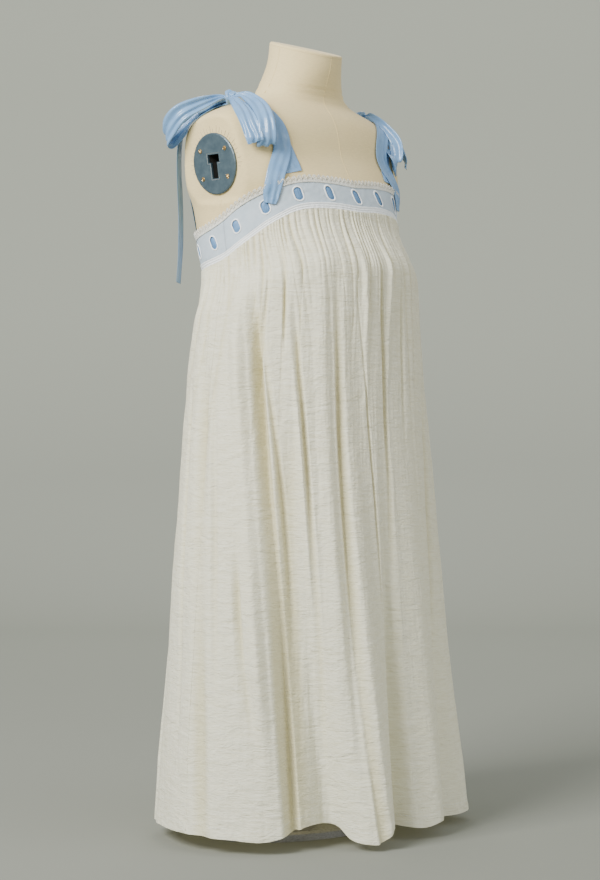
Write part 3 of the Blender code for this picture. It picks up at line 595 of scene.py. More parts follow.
# Near black, as painted shade inside the keyhole pockets
POCKET_PAINTED_SHADE = plain_cloth_material("painted_shade_inside", (0.012, 0.010, 0.006), (0.02, 0.017, 0.010), glow=0.0)
ENAMEL = enamel_material()
BRASS = metal_material("screw_brass", (0.40, 0.27, 0.11), (0.72, 0.53, 0.27), 0.32)
EDGE_STEEL = metal_material("edge_steel", (0.42, 0.43, 0.42), (0.72, 0.73, 0.71), 0.30)
STEEL = metal_material("stand_steel", (0.30, 0.30, 0.30), (0.48, 0.48, 0.48), 0.38)


# Threads
def tubes(name, lines, radius, material, sides=5):
    """One mesh of round threads along several lines of points."""
    points, faces = [], []
    for line in lines:
        line = np.asarray(line, float)
        way = unit(np.gradient(line, axis=0))
        helper = np.where(np.abs(way[:, 2:3]) < 0.9, [[0.0, 0.0, 1.0]], [[1.0, 0.0, 0.0]])
        first = unit(np.cross(way, helper))
        second = np.cross(way, first)
        turns = np.arange(sides) * 2 * pi / sides
        ring = (np.cos(turns)[None, :, None] * first[:, None, :]
                + np.sin(turns)[None, :, None] * second[:, None, :]) * radius
        base = len(points)
        body = (line[:, None, :] + ring).reshape(-1, 3)
        points.extend(map(tuple, body))
        faces.extend(grid_faces_tube(len(line), sides, base))
        faces.append(tuple(base + i for i in range(sides)))
        faces.append(tuple(base + (len(line) - 1) * sides + i for i in reversed(range(sides))))
    return put(name, points, faces, material)


def grid_faces_tube(rows, sides, base):
    """Faces of one thread."""
    faces = []
    for r in range(rows - 1):
        for c in range(sides):
            n = (c + 1) % sides
            a = base + r * sides
            faces.append((a + n, a + c, a + sides + c, a + sides + n))
    return faces


def stitches(name, route, stitch, gap, radius, material):
    """Row of separate stitches along a line of points."""
    route = np.asarray(route, float)
    lengths = np.concatenate([[0.0], np.cumsum(np.linalg.norm(np.diff(route, axis=0), axis=1))])
    starts = np.arange(0.0, lengths[-1] - stitch, stitch + gap)
    lines = []
    for start in starts:
        at = start + stitch * np.array([0.0, 0.5, 1.0])
        lines.append(np.stack([np.interp(at, lengths, route[:, i]) for i in range(3)], axis=1))
    return tubes(name, lines, radius, material, sides=4)


# Stage, lights and camera
def make_stage():
    """Pale floor that sweeps up into a wall far behind the dress, darker near the dress and lighter far off
    as painted light and shade.
    """
    behind = np.array([cos(radians(45)), sin(radians(45))])
    side = np.array([behind[1], -behind[0]])
    profile = [(-16.0, 0.0), (3.2, 0.0)]
    profile += [(3.2 + 2.0 * sin(a), 2.0 - 2.0 * cos(a)) for a in np.linspace(0.1, pi / 2, 14)]
    profile += [(5.2, 6.0)]
    grid = np.array([[(*(behind * far + side * wide), high) for wide in (-16.0, 0.0, 16.0)]
                     for far, high in profile])
    made, tree, shader = surface("studio_paper_painted_shade", BACKDROP, 0.95, values={"Specular IOR Level": 0.1})
    place = add_node(tree, "ShaderNodeTexCoord")
    level = add_node(tree, "ShaderNodeVectorMath", operation="DOT_PRODUCT")
    level.inputs[1].default_value = (behind[0] / STAGE_RUN, behind[1] / STAGE_RUN, 1.0 / STAGE_RUN)
    tree.links.new(place.outputs["Object"], level.inputs[0])
    # Painted light and shade: the paper's colour scaled along distance and height
    stops = [((run + STAGE_BEHIND) / STAGE_RUN, tuple(shade * value for value in BACKDROP))
             for run, shade in STAGE_PAINTED_SHADES]
    start = add_node(tree, "ShaderNodeMath", operation="ADD")
    start.inputs[1].default_value = STAGE_BEHIND / STAGE_RUN
    tree.links.new(level.outputs["Value"], start.inputs[0])
    paper = ramp(tree, start.outputs[0], stops)
    tree.links.new(paper, shader.inputs["Base Color"])
    floor = put("studio_sweep", grid.reshape(-1, 3), grid_faces(*grid.shape[:2]), made)


def area_light(name, place, target, size, power, colour):
    """Soft square light aimed at a point."""
    lamp = bpy.data.lights.new(name, "AREA")
    lamp.shape = "SQUARE"
    lamp.size = size
    lamp.energy = power
    lamp.color = colour
    item = bpy.data.objects.new(name, lamp)
    bpy.context.collection.objects.link(item)
    item.location = place
    item.rotation_euler = (Vector(target) - Vector(place)).to_track_quat("-Z", "Y").to_euler()


def make_lights():
    """Large soft light from the upper left, two weaker ones and an even surround."""
    world = bpy.data.worlds.new("surround")
    bpy.context.scene.world = world
    world.use_nodes = True
    world.node_tree.nodes["Background"].inputs["Color"].default_value = (*WORLD_COLOUR, 1.0)
    world.node_tree.nodes["Background"].inputs["Strength"].default_value = WORLD_STRENGTH
    area_light("key_light", KEY_PLACE, (0, 0, 0.7), 1.6, KEY_POWER, (1.0, 0.985, 0.96))
    area_light("fill_light", FILL_PLACE, (0, 0, 0.6), 2.4, FILL_POWER, (0.95, 0.98, 1.0))
    area_light("back_light", BACK_PLACE, (0, 0, 0.8), 2.0, BACK_POWER, (1.0, 0.99, 0.97))


def make_camera():
    """Camera at the photograph's viewing angle."""
    turn = radians(VIEW_AZIMUTH)
    away = Vector((sin(turn), -cos(turn), 0)) * VIEW_DISTANCE
    right = Vector((cos(turn), sin(turn), 0)) * VIEW_SIDE
    camera = bpy.data.cameras.new("photo_camera")
    camera.lens = VIEW_LENS
    camera.sensor_width = 36.0
    item = bpy.data.objects.new("photo_camera", camera)
    bpy.context.collection.objects.link(item)
    item.location = away + right + Vector((0, 0, VIEW_HEIGHT))
    item.rotation_euler = (radians(90), 0, turn)
    bpy.context.scene.camera = item


BACKDROP = (0.545, 0.57, 0.50)
STAGE_RUN = 24.0
STAGE_BEHIND = 16.0
# Painted light and shade on the paper at distances from the dress, measured away from the camera and up
STAGE_PAINTED_SHADES = ((-12.0, 1.0), (-3.0, 0.62), (-0.9, 0.36), (0.2, 0.44), (0.9, 0.48),
                (3.3, 0.61), (4.9, 0.81), (6.0, 0.95), (7.5, 1.07))
WORLD_COLOUR = (1.0, 1.0, 0.97)
WORLD_STRENGTH = 0.76
KEY_PLACE = (-3.1, -0.3, 2.5)
KEY_POWER = 236.0
FILL_PLACE = (1.6, -3.2, 1.4)
FILL_POWER = 38.0
BACK_PLACE = (2.4, 2.6, 2.5)
BACK_POWER = 30.0

make_stage()
make_lights()
make_camera()


# Skirt
GATHER_COUNT = 122
GATHER_DEPTH = 0.0027
PLEAT_COUNT = 31
PLEAT_DEPTH = 0.0030
CREASE_GAIN = 1.45
STREAK_DEPTH = 0.0003
PANEL_COLUMNS = 560
PANEL_ROWS = 150
HEM_SHARE = 0.983
HEM_STEP = 0.0005
VALLEY_DEPTH = 0.0024
RIGHT_GATHERS = 0.9

# More creases on the sides that the photograph hides, as unequal as the ones it shows
HIDDEN_CREASES = table(
    "start middle end first last half out steep",
    (60, 63, 61, 0.03, 0.70, 3.0, -0.0070, 1.5),
    (70, 66, 64, 0.10, 1.00, 4.2, 0.0050, 0.8),
    (86, 90, 88, 0.04, 0.92, 2.4, -0.0060, 1.2),
    (99, 103, 107, 0.03, 1.05, 5.0, 0.0070, 1.6),
    (108, 111, 109, 0.02, 0.40, 1.8, -0.0040, 1.0),
    (122, 125, 127, 0.05, 1.05, 3.4, -0.0085, 0.7),
    (139, 137, 140, 0.03, 0.66, 2.2, -0.0050, 1.4),
    (146, 149, 147, 0.14, 1.00, 4.6, 0.0060, 1.2),
    (160, 158, 161, 0.03, 0.84, 2.8, -0.0075, 1.8),
    (176, 179, 177, 0.02, 1.05, 3.8, -0.0060, 1.0),
    (192, 195, 198, 0.04, 0.74, 2.0, 0.0040, 1.0),
    (203, 200, 199, 0.10, 1.05, 4.0, -0.0075, 0.7),
    (215, 218, 216, 0.03, 0.58, 2.6, -0.0055, 1.5),
    (229, 233, 236, 0.05, 1.05, 4.8, 0.0060, 1.3),
    (240, 238, 241, 0.03, 0.80, 2.2, -0.0050, 1.0),
)


def fold_offset(turn, t):
    """Depth of the large folds at angles in degrees and shares of the skirt's height."""
    total = np.zeros(np.broadcast(turn, t).shape)
    for fold in FOLDS:
        centre = fold["top"] + (fold["hem"] - fold["top"]) * t
        away = np.abs(wrapped(turn - centre)) / (fold["half"] * (0.75 + 0.25 * t))
        grow = soft((t - fold["start"]) / (FOLD_SPAN - fold["start"])) / soft(1 / FOLD_SPAN)
        hump = 0.5 + 0.5 * np.cos(pi * np.minimum(away, 1))
        total += np.where(away < 1.0, fold["out"] * grow * hump, 0.0)
    return total


def crease_offset(turn, t):
    """Depth of the smaller creases, each on its own bent line."""
    total = np.zeros(np.broadcast(turn, t).shape)
    for crease in CREASES + HIDDEN_CREASES:
        s = np.clip((t - crease["first"]) / (crease["last"] - crease["first"]), 0.0, 1.0)
        bend = 4 * s * (1 - s) * (crease["middle"] - (crease["start"] + crease["end"]) / 2)
        centre = crease["start"] + (crease["end"] - crease["start"]) * s + bend
        away = wrapped(turn - centre) / crease["half"]
        away = np.where(away > 0, away * crease["steep"], away)
        strength = soft(s * 4.0) * soft((1 - s) * 4.0 if crease["last"] < 1.0 else np.ones_like(s))
        strength = strength * (0.72 + 0.28 * np.cos(9.0 * s + crease["half"]))
        inside = (np.abs(away) < 1.0) & (t > crease["first"])
        hump = 0.5 + 0.5 * np.cos(pi * np.clip(away, -1, 1))
        total += np.where(inside, crease["out"] * strength * hump, 0.0)
    return total


def gather_offset(turn, t):
    """Small uneven gathers under the band that run out at different lengths."""
    share = turn / 360.0
    wander = 2.3 * noise(share * 40, t * 3.0, 11, 40) + 0.35 * noise(share * 96, t * 12.0, 12, 96)
    phase = share * GATHER_COUNT + wander
    which = np.floor(phase)
    length = 0.068 + 0.055 * noise(which, np.zeros_like(which), 13, 64)
    size = 1.0 + 0.65 * noise(which * 1.7, np.ones_like(which), 14, 64)
    crest = np.abs(np.sin(pi * phase)) ** 0.95 * 2 - 1
    fade = np.exp(-(t / np.maximum(length, 0.02)) ** 1.3)
    rise = 0.45 + 0.55 * soft(t / 0.035)
    side = 1.0 + RIGHT_GATHERS * np.exp(-((turn + 92.0) / 24.0) ** 2)
    return GATHER_DEPTH * side * size * crest * fade * rise


def pleat_offset(turn, t):
    """Softer folds that the gathers run together into, each with its own depth and length."""
    share = turn / 360.0
    wander = 1.6 * noise(share * 16, t * 1.8 + 7, 15, 16)
    phase = share * PLEAT_COUNT + wander
    which = np.floor(phase)
    length = 0.20 + 0.18 * noise(which, np.zeros_like(which), 16, 64)
    size = 1.0 + 0.9 * noise(which * 1.3, np.ones_like(which), 17, 64)
    crest = np.abs(np.sin(pi * phase)) ** 1.1 - 0.5
    rise = soft((t - 0.005) / 0.06)
    fade = np.exp(-(t / np.maximum(length, 0.06)) ** 1.6)
    return PLEAT_DEPTH * size * crest * rise * fade


def streak_offset(turn, t):
    """Fine upright wrinkles and slack all over the cloth."""
    share = turn / 360.0
    wide = noise(share * 40, t * 4.0, 21, 40) * 0.0024 * soft(t / 0.2)
    fine = noise(share * 240, t * 16.0, 22, 240) * STREAK_DEPTH
    small = noise(share * 420, t * 46.0, 23, 420) * 0.00035
    return wide + fine * (0.5 + 0.5 * soft(t / 0.1)) + small


def hem_height(angle):
    """Height of the hem round the skirt."""
    return curve(HEM, "angle", wrapped(np.degrees(angle)), "high")


def hem_pucker(turn, t):
    """Small puckers over the stitched hem."""
    share = turn / 360.0
    near = np.exp(-((t - HEM_SHARE) / 0.010) ** 2)
    return near * 0.0009 * noise(share * 300, t * 40.0, 31, 300)


def skirt_points(angle, t):
    """Points of the skirt's outer face; t runs from the heading (0) to the hem (1)."""
    angle, t = np.broadcast_arrays(np.asarray(angle, float), np.asarray(t, float))
    turn = np.degrees(angle)
    top_share = 1 + slope_shares(angle, HEADING_HEIGHT + SEAM)
    top_z = band_heights(angle, top_share)
    z = top_z + t * (hem_height(angle) - top_z)
    start = strip_points(angle, top_share, SKIRT_START_OUT)
    wide, deep, forward = (curve(SKIRT, "z", z, key) for key in ("wide", "deep", "forward"))
    reach = oval(angle, wide, deep, SKIRT_ROUNDNESS) + fold_offset(turn, t)
    hang = np.stack([reach * np.sin(angle), -reach * np.cos(angle) - forward, z], axis=-1)
    blend = soft(t / BLEND_SHARE)[..., None]
    mixed = start + (hang - start) * blend
    mixed[..., 2] = z
    level = unit(np.stack([np.sin(angle) * deep, -np.cos(angle) * wide, np.zeros_like(z)], axis=-1))
    small = CREASE_GAIN * crease_offset(turn, t) * soft(t / 0.06)
    small = small + gather_offset(turn, t) + pleat_offset(turn, t)
    small += streak_offset(turn, t) + hem_pucker(turn, t) + HEM_STEP * soft((t - HEM_SHARE) / 0.002)
    return mixed + level * small[..., None]


def side_seam(angle, name):
    """Fine seam line down one side of the skirt."""
    t = np.linspace(0.004, 0.995, 160)
    route = skirt_points(np.full_like(t, angle), t)
    return tubes(name, [route], 0.0006, GAUZE, sides=5)


def paint_valley_shade(panel, turn, t):
    """Mark where the cloth lies deep between gathers, for a painted shade that is warmer and darker."""
    turn, t = np.broadcast_arrays(turn, t)
    low = -(gather_offset(turn, t) + 0.8 * pleat_offset(turn, t) + 0.35 * crease_offset(turn, t))
    deep = soft((low + 0.0002) / VALLEY_DEPTH)
    layer = panel.data.attributes.new("painted_valley_shade", "FLOAT", "POINT")
    layer.data.foreach_set("value", deep.reshape(-1).astype(np.float32))


def make_skirt():
    """Front and back panels, gathered into the heading and hemmed."""
    rows = np.linspace(0.0, 1.0, PANEL_ROWS) ** 1.18
    for label, first in (("front", -pi / 2), ("back", pi / 2)):
        angle = np.linspace(first, first + pi, PANEL_COLUMNS)
        grid = skirt_points(angle[None, :], rows[:, None])
        panel = grid_object(f"skirt_{label}_cloth", grid, GAUZE)
        # Painted shade in the valleys of the gathers
        paint_valley_shade(panel, np.degrees(angle)[None, :], rows[:, None])
        finish_piece(panel, "gauze", f"skirt_{label}")
        hem_turns = np.linspace(first + 0.01, first + pi - 0.01, 900)
        line = skirt_points(hem_turns, np.full_like(hem_turns, HEM_SHARE - 0.0008))
        hem = stitches(f"hem_stitches_{label}", line, 0.0026, 0.0022, 0.00035, THREAD)
        finish_piece(hem, "gauze")
        seam = side_seam(first, f"side_seam_{label}")
        finish_piece(seam, "gauze")


make_skirt()


# Band, lace, heading and casing ribbon
CELL_EDGE = 14
CELL_ROWS = 9
HOLE_WIDTH = 0.0132
HOLE_LENGTH = 0.0212
HALF_LENGTH = (HOLE_LENGTH - HOLE_WIDTH) / 2
EYELET_LEAN = -0.36
PUFF = 0.0017
LACE_SCALLOPS = 112
# The lace stands higher than the part's solid one, to the height in the photograph
LACE_HEIGHT = 0.0105
# Cords across the heading strip
HEADING_CORDS = 3


def eyelet_length(number):
    """Length along the band from the centre front to an eyelet."""
    return EYELET_START + number * GIRTH / EYELETS


def oblong_reach(direction, grow=0.0):
    """Distance from an eyelet's centre to its edge in given directions."""
    x, y = np.abs(np.cos(direction)), np.abs(np.sin(direction))
    radius = HOLE_WIDTH / 2 + grow
    flat = radius / np.maximum(x, 1e-9)
    straight = flat * y <= HALF_LENGTH
    inner = radius ** 2 - (HALF_LENGTH * x) ** 2
    round_end = HALF_LENGTH * y + np.sqrt(np.maximum(inner, 0.0))
    return np.where(straight, flat, round_end)


def band_surface(length, up, out):
    """Points of the band at lengths round it and heights above its middle line."""
    angle = angle_at(length)
    height = band_depth(angle)
    return strip_points(angle, 0.5 - np.asarray(up) / height, out)


def cell_outline():
    """Corner-to-corner outline of an eyelet's cell, each side from -1 to 1."""
    steps = np.linspace(-1, 1, CELL_EDGE, endpoint=False)
    right = [(1.0, s) for s in steps]
    top = [(-s, 1.0) for s in steps]
    left = [(-1.0, -s) for s in steps]
    bottom = [(s, -1.0) for s in steps]
    return np.array(right + top + left + bottom)


def band_half(label, numbers):
    """Half of the band, its eyelets cut through."""
    outline = cell_outline()
    points, faces = [], []
    count = len(outline)
    for number in numbers:
        middle = eyelet_length(number)
        x = outline[:, 0] * GIRTH / EYELETS / 2
        angle = angle_at(middle + x)
        half_height = band_depth(angle) / 2
        y = outline[:, 1] * half_height
        direction = np.arctan2(y, x)
        edge = oblong_reach(direction)
        leaning = np.cos(direction) + EYELET_LEAN * np.sin(direction)
        inner = np.stack([edge * leaning, edge * np.sin(direction)], axis=1)
        outer = np.stack([x, y], axis=1)
        share = (np.linspace(0, 1, CELL_ROWS) ** 1.5)[:, None, None]
        spots = inner + (outer - inner) * share
        ripple = 0.00035 * noise((middle + spots[..., 0]) * 260, spots[..., 1] * 200 + 9, 41)
        rolled = -0.0004 * np.exp(-(share[..., 0] / 0.10) ** 2)
        grid = band_surface(middle + spots[..., 0], spots[..., 1], BAND_OUT - 0.0002 + ripple + rolled)
        shift = len(points)
        points.extend(map(tuple, grid.reshape(-1, 3)))
        faces.extend(grid_faces(CELL_ROWS, count, closed=True, shift=shift))
    item = put(f"insertion_{label}", points, faces, INSERTION)
    merge = bmesh.new()
    merge.from_mesh(item.data)
    bmesh.ops.remove_doubles(merge, verts=merge.verts, dist=0.00005)
    bmesh.ops.recalc_face_normals(merge, faces=merge.faces)
    merge.to_mesh(item.data)
    merge.free()
    thicken(item, 0.0007)
    return item


def overcast_rings(label, numbers):
    """Close buttonhole stitches round each eyelet."""
    around, sides, stitch_count = 120, 8, 40
    turns = np.arange(around) * 2 * pi / around
    points, faces = [], []
    for number in numbers:
        middle = eyelet_length(number)
        thick = 0.0014 * (0.86 + 0.22 * np.cos(stitch_count * turns))
        for side in range(sides):
            tilt = 2 * pi * side / sides
            reach = oblong_reach(turns, 0.0007 + thick * cos(tilt))
            out = BAND_OUT + 0.0001 + 0.55 * thick * sin(tilt)
            along = reach * (np.cos(turns) + EYELET_LEAN * np.sin(turns))
            ring = band_surface(middle + along, reach * np.sin(turns), out)
            points.extend(map(tuple, ring))
        shift = len(points) - sides * around
        for side in range(sides):
            after = (side + 1) % sides
            for i in range(around):
                n = (i + 1) % around
                faces.append((shift + side * around + i, shift + side * around + n,
                              shift + after * around + n, shift + after * around + i))
    return put(f"eyelet_stitches_{label}", points, faces, THREAD)


def casing_ribbon(label, first, last):
    """Satin ribbon behind the band, puffed out through each eyelet."""
    length = np.linspace(first, last, 430)[None, :]
    angle = angle_at(length)
    height = band_depth(angle)
    share = np.linspace(0.03, 0.97, 20)[:, None]
    up = (0.5 - share) * height
    pitch = GIRTH / EYELETS
    beside = (length - EYELET_START + pitch / 2) % pitch - pitch / 2 - EYELET_LEAN * up
    over = np.maximum(0.0, np.abs(up) - HALF_LENGTH)
    near = np.hypot(beside, over) / (HOLE_WIDTH / 2)
    puff = PUFF * soft((1.02 - near) / 0.75)
    crumple = 3 * noise(up * 90 + 3, length * 30 + 7, 51)
    pleat = 0.0007 * np.cos(beside * 2 * pi / 0.0031 + crumple) * soft(1.3 - near)
    out = CASING_OFFSET + RIBBON * 0.7 + puff + pleat * soft(puff / PUFF * 2)
    grid = strip_points(np.broadcast_to(angle, up.shape), np.broadcast_to(share, up.shape), out)
    # The darker satin here is painted shade
    return grid_object(f"casing_ribbon_{label}", grid, CASING_SATIN_PAINTED_SHADE, thick=0.0004)


def lace_strip(label, first, last):
    """Scalloped lace with open holes along the band's upper edge."""
    per = 12
    scallops = LACE_SCALLOPS // 2
    columns = scallops * per + 1
    length = np.linspace(first, last, columns)
    share = np.linspace(0.0, 1.0, 8)
    phase = np.arange(columns) / per
    scallop = 0.50 + 0.50 * np.abs(np.sin(pi * phase)) ** 0.6
    angle = angle_at(length)
    half_height = band_depth(angle) / 2
    high = LACE_HEIGHT * scallop
    up = half_height[None, :] - 0.0010 + share[:, None] * (high[None, :] + 0.0010)
    lean = 0.0009 * np.sin(2 * pi * phase)[None, :] * share[:, None]
    frill = 0.0005 * noise(length[None, :] * 400, share[:, None] * 3 + 5, 61)
    out = BAND_OUT + 0.0003 + frill * share[:, None] + 0.0018 * share[:, None] ** 2
    grid = band_surface(length[None, :] + lean, up, out)
    faces = []
    for r in range(len(share) - 1):
        for c in range(columns - 1):
            hole = (r == 3 and c % 4 in (1, 2)) or (r == 5 and c % 4 in (1, 2))
            if not hole:
                faces.append((r * columns + c, (r + 1) * columns + c,
                              (r + 1) * columns + c + 1, r * columns + c + 1))
    item = put(f"lace_edging_{label}", grid.reshape(-1, 3), faces, LACE)
    thicken(item, 0.0004)
    return item


def lace_threads(label, first, last):
    """Outline threads and picots of the lace."""
    scallops = LACE_SCALLOPS // 2
    pitch = (last - first) / scallops
    arc = np.linspace(0, pi, 11)
    lines = []
    for k in range(scallops):
        middle = first + (k + 0.5) * pitch
        angle = angle_at(np.array([middle]))
        half_height = float(band_depth(angle)[0]) / 2
        for reach, low in ((1.0, 0.0030), (0.62, 0.0022)):
            along = middle - np.cos(arc) * pitch / 2 * reach
            up = half_height + low + np.sin(arc) ** 0.7 * (LACE_HEIGHT - 0.0030) * reach
            lines.append(band_surface(along, up, BAND_OUT + 0.0011 + 0.0010 * np.sin(arc)))
        for picot in (-0.28, 0.0, 0.28):
            tip = np.linspace(0, pi, 5)
            along = middle + picot * pitch - np.cos(tip) * 0.0007
            base = LACE_HEIGHT - 0.0004 - 0.0016 * abs(picot) / 0.28
            up = half_height + base + np.sin(tip) * 0.0013
            lines.append(band_surface(along, up, BAND_OUT + 0.0020))
    for low in (0.0006, 0.0024):
        length = np.linspace(first, last, 500)
        angle = angle_at(length)
        half_height = band_depth(angle) / 2
        wave = 0.0003 * np.sin(length * 2 * pi / 0.0028)
        lines.append(band_surface(length, half_height + low + wave, BAND_OUT + 0.0006))
    return tubes(f"lace_threads_{label}", lines, 0.00032, LACE, sides=4)


def heading_strip(label, first, last):
    """Corded heading between the band and the gathers."""
    length = np.linspace(first, last, 560)[None, :]
    share = np.linspace(0.0, 1.0, 16)[:, None]
    angle = angle_at(length)
    half_height = band_depth(angle) / 2
    up = -half_height + 0.0010 - share * (HEADING_HEIGHT + 0.0020)
    cords = np.abs(np.sin(pi * HEADING_CORDS * share)) ** 0.7
    ticks = 0.00022 * np.cos(length * 2 * pi / 0.0026 + 2 * share)
    tucks = 0.00055 * noise(length * 420, share * 2 + 2, 71) * share
    out = BAND_OFFSET + 0.0006 + 0.0006 * (share < 0.12) + 0.0012 * cords + ticks * cords + tucks
    grid = band_surface(np.broadcast_to(length, up.shape), up, out)
    return grid_object(f"corded_heading_{label}", grid, THREAD, thick=0.0004)


def make_band():
    """Everything along the neckline but the straps."""
    quarter = GIRTH / EYELETS * 4.5
    halves = (("front", range(-4, 5), -quarter, quarter),
              ("back", range(5, 14), quarter, 3 * quarter))
    for label, numbers, first, last in halves:
        first, last = first + EYELET_START, last + EYELET_START
        band = finish_piece(band_half(label, numbers), "insertion", f"band_{label}")
        rings = finish_piece(overcast_rings(label, numbers), "insertion")
        ribbon = finish_piece(casing_ribbon(label, first, last), "satin", f"ribbon_{label}")
        lace = finish_piece(lace_strip(label, first, last), "lace", f"lace_{label}")
        threads = finish_piece(lace_threads(label, first, last), "lace")
        heading = finish_piece(heading_strip(label, first, last), "lace", f"heading_{label}")


make_band()


# Ribbons: places as in the part's source; a few directions across differ slightly
STRAP_FRONT_RIGHT = table(
    "angle z width lift",
    (61, 0.946, 0.018, 0.0052),
    (60, 0.962, 0.025, 0.0052),
    (58, 0.990, 0.028, 0.0046),
    (56, 1.030, 0.029, 0.0034),
    (60, 1.064, 0.029, 0.0032),
    (70, 1.090, 0.026, 0.0022),
    (87, 1.103, 0.018, 0.0062),
)
STRAP_FRONT_LEFT = table(
    "angle z width lift",
    (53, 0.954, 0.018, 0.0052),
    (53, 0.970, 0.025, 0.0052),
    (52, 0.998, 0.028, 0.0046),
    (51, 1.034, 0.029, 0.0034),
    (58, 1.066, 0.029, 0.0032),
    (70, 1.090, 0.026, 0.0022),
    (87, 1.103, 0.018, 0.0062),
)
STRAP_BACK = table(
    "angle z width lift",
    (93, 1.102, 0.018, 0.0050),
    (108, 1.092, 0.026, 0.0024),
    (120, 1.064, 0.034, 0.0028),
    (127, 1.020, 0.036, 0.0028),
    (131, 0.970, 0.036, 0.0034),
    (132, 0.925, 0.032, 0.0040),
    (132, 0.885, 0.020, 0.0038),
)
TAIL_FRONT = table(
    "angle z width lift",
    (61, 1.058, 0.022, 0.0007),
    (56, 1.038, 0.026, 0.0007),
    (51, 1.012, 0.028, 0.0007),
    (48, 0.994, 0.028, 0.0007),
)

# Bows: places measured from the knot to the wearer's side, back and up, and the direction
# across the ribbon, given for the right shoulder
KNOT = Vector((-0.143, 0.015, 1.113))
KNOT_SIZE = Vector((0.0095, 0.0100, 0.0092))
LOOP_BACK = table(
    "side back up width ax ay az",
    (0.001, 0.0118, 0.001, 0.008, 0.8, 0.0, 0.5),
    (0.012, 0.019, -0.002, 0.018, 0.4, 0.4, 0.8),
    (0.034, 0.026, -0.012, 0.026, -0.2, 0.3, 0.9),
    (0.058, 0.044, -0.028, 0.034, -0.4, 0.3, 0.9),
    (0.064, 0.062, -0.046, 0.037, -0.3, 0.2, 0.9),
    (0.060, 0.078, -0.062, 0.038, 0.0, 0.3, 0.9),
    (0.048, 0.080, -0.066, 0.036, 0.2, 0.4, 0.8),
    (0.038, 0.064, -0.050, 0.028, 0.3, 0.3, 0.8),
    (0.026, 0.042, -0.024, 0.018, 0.5, 0.3, 0.6),
)
LOOP_FRONT = table(
    "side back up width ax ay az",
    (0.0, -0.0107, 0.002, 0.011, 0.9, -0.2, 0.3),
    (-0.008, -0.029, 0.001, 0.022, 0.8, -0.4, 0.3),
    (-0.009, -0.058, -0.016, 0.030, 0.8, -0.5, 0.3),
    (-0.001, -0.0815, -0.042, 0.032, 0.8, -0.5, 0.2),
    (0.001, -0.0865, -0.068, 0.032, 0.8, -0.5, 0.2),
    (-0.0015, -0.0815, -0.080, 0.032, 0.8, -0.5, 0.2),
    (-0.0045, -0.076, -0.070, 0.026, 0.8, -0.5, 0.2),
    (-0.0035, -0.0735, -0.048, 0.020, 0.8, -0.5, 0.2),
)
LOOP_SMALL = table(
    "side back up width ax ay az",
    (0.0100, -0.004, -0.003, 0.010, 0.3, -0.9, 0.0),
    (0.0190, -0.020, -0.014, 0.022, 0.7, -0.6, 0.0),
    (0.0300, -0.050, -0.042, 0.028, 0.7, -0.7, 0.1),
    (0.0310, -0.066, -0.070, 0.028, 0.7, -0.7, 0.1),
    (0.0290, -0.070, -0.082, 0.026, 0.7, -0.7, 0.1),
)
TAIL_BACK = table(
    "side back up width ax ay az",
    (-0.005, 0.0094, -0.0025, 0.008, 0.9, 0.2, 0.0),
    (-0.002, 0.048, -0.012, 0.022, 0.9, 0.4, 0.0),
    (0.013, 0.088, -0.034, 0.032, 0.80, 0.60, 0.0),
    (0.017, 0.098, -0.080, 0.036, 0.80, 0.60, 0.0),
    (0.015, 0.097, -0.150, 0.036, 0.80, 0.60, 0.0),
    (0.015, 0.097, -0.220, 0.036, 0.80, 0.60, 0.0),
    (0.018, 0.099, -0.276, 0.036, 0.80, 0.60, 0.0),
)
RIBBON_ACROSS = 18
RIBBON_STEPS = 104
STATION_STEP = 0.05
PUSH_TRIES = 160
PUSH_STEP = 0.00035

# How far each ribbon of a bow spreads to either side of its middle line, in widths
EVEN = (-0.5, 0.5)
RIGHT_SPREADS = dict(loop_back=(-0.30, 0.5), loop_front=(-0.62, 0.26), loop_small=(-0.06, 0.85))
LEFT_SPREADS = dict(loop_back=(-0.5, 0.55), loop_front=(-0.95, 0.08), loop_small=(-0.5, 0.5))
STRAP_BACK_SPREAD = (-0.86, 0.0)
RIBBON_PLEATS = 2.6
PLEAT_FILL = 0.8
SELVAGE = 0.00035


def spare_depth(shown):
    """Depth of pleats that takes up a ribbon's cut width where less of it shows."""
    spare = np.maximum(0.0, RIBBON_WIDTH / shown - 1.0)
    return PLEAT_FILL * shown * np.sqrt(spare) / (pi * RIBBON_PLEATS)


def ribbon_relief(across, along, width, seed, ends=(True, True), depth=0.0):
    """Lengthwise pleats where a ribbon is drawn narrow, soft wrinkles elsewhere."""
    narrow = soft((0.030 - width) / 0.018)
    near = np.zeros_like(along)
    if ends[0]:
        near = np.maximum(near, np.exp(-along / 0.34))
    if ends[1]:
        near = np.maximum(near, np.exp(-(1 - along) / 0.20))
    drawn = np.maximum(narrow * 0.55, near)
    crumple = 1.4 * noise(along * 5 + seed, across * 2 + 3, seed)
    pleats = np.cos(across * 2 * pi * RIBBON_PLEATS + seed + crumple)
    wrinkle = noise(along * 11 + seed, across * 3.2 + 9, seed + 1)
    roll = noise(along * 3 + 2 * seed, across * 1.3 + 5, seed + 2)
    edge = np.exp(-((0.5 - np.abs(across)) / 0.045) ** 2)
    return np.maximum(0.0015 * drawn, depth) * pleats + 0.0007 * wrinkle + 0.0013 * roll + 0.0002 * edge


def stations_of(table, steps):
    """Smoothed columns of a table of stations."""
    rows = [dict(row, n=i) for i, row in enumerate(table)]
    at = np.linspace(0, len(table) - 1, steps)
    return at, {key: curve(rows, "n", at, key) for key in table[0]}, rows


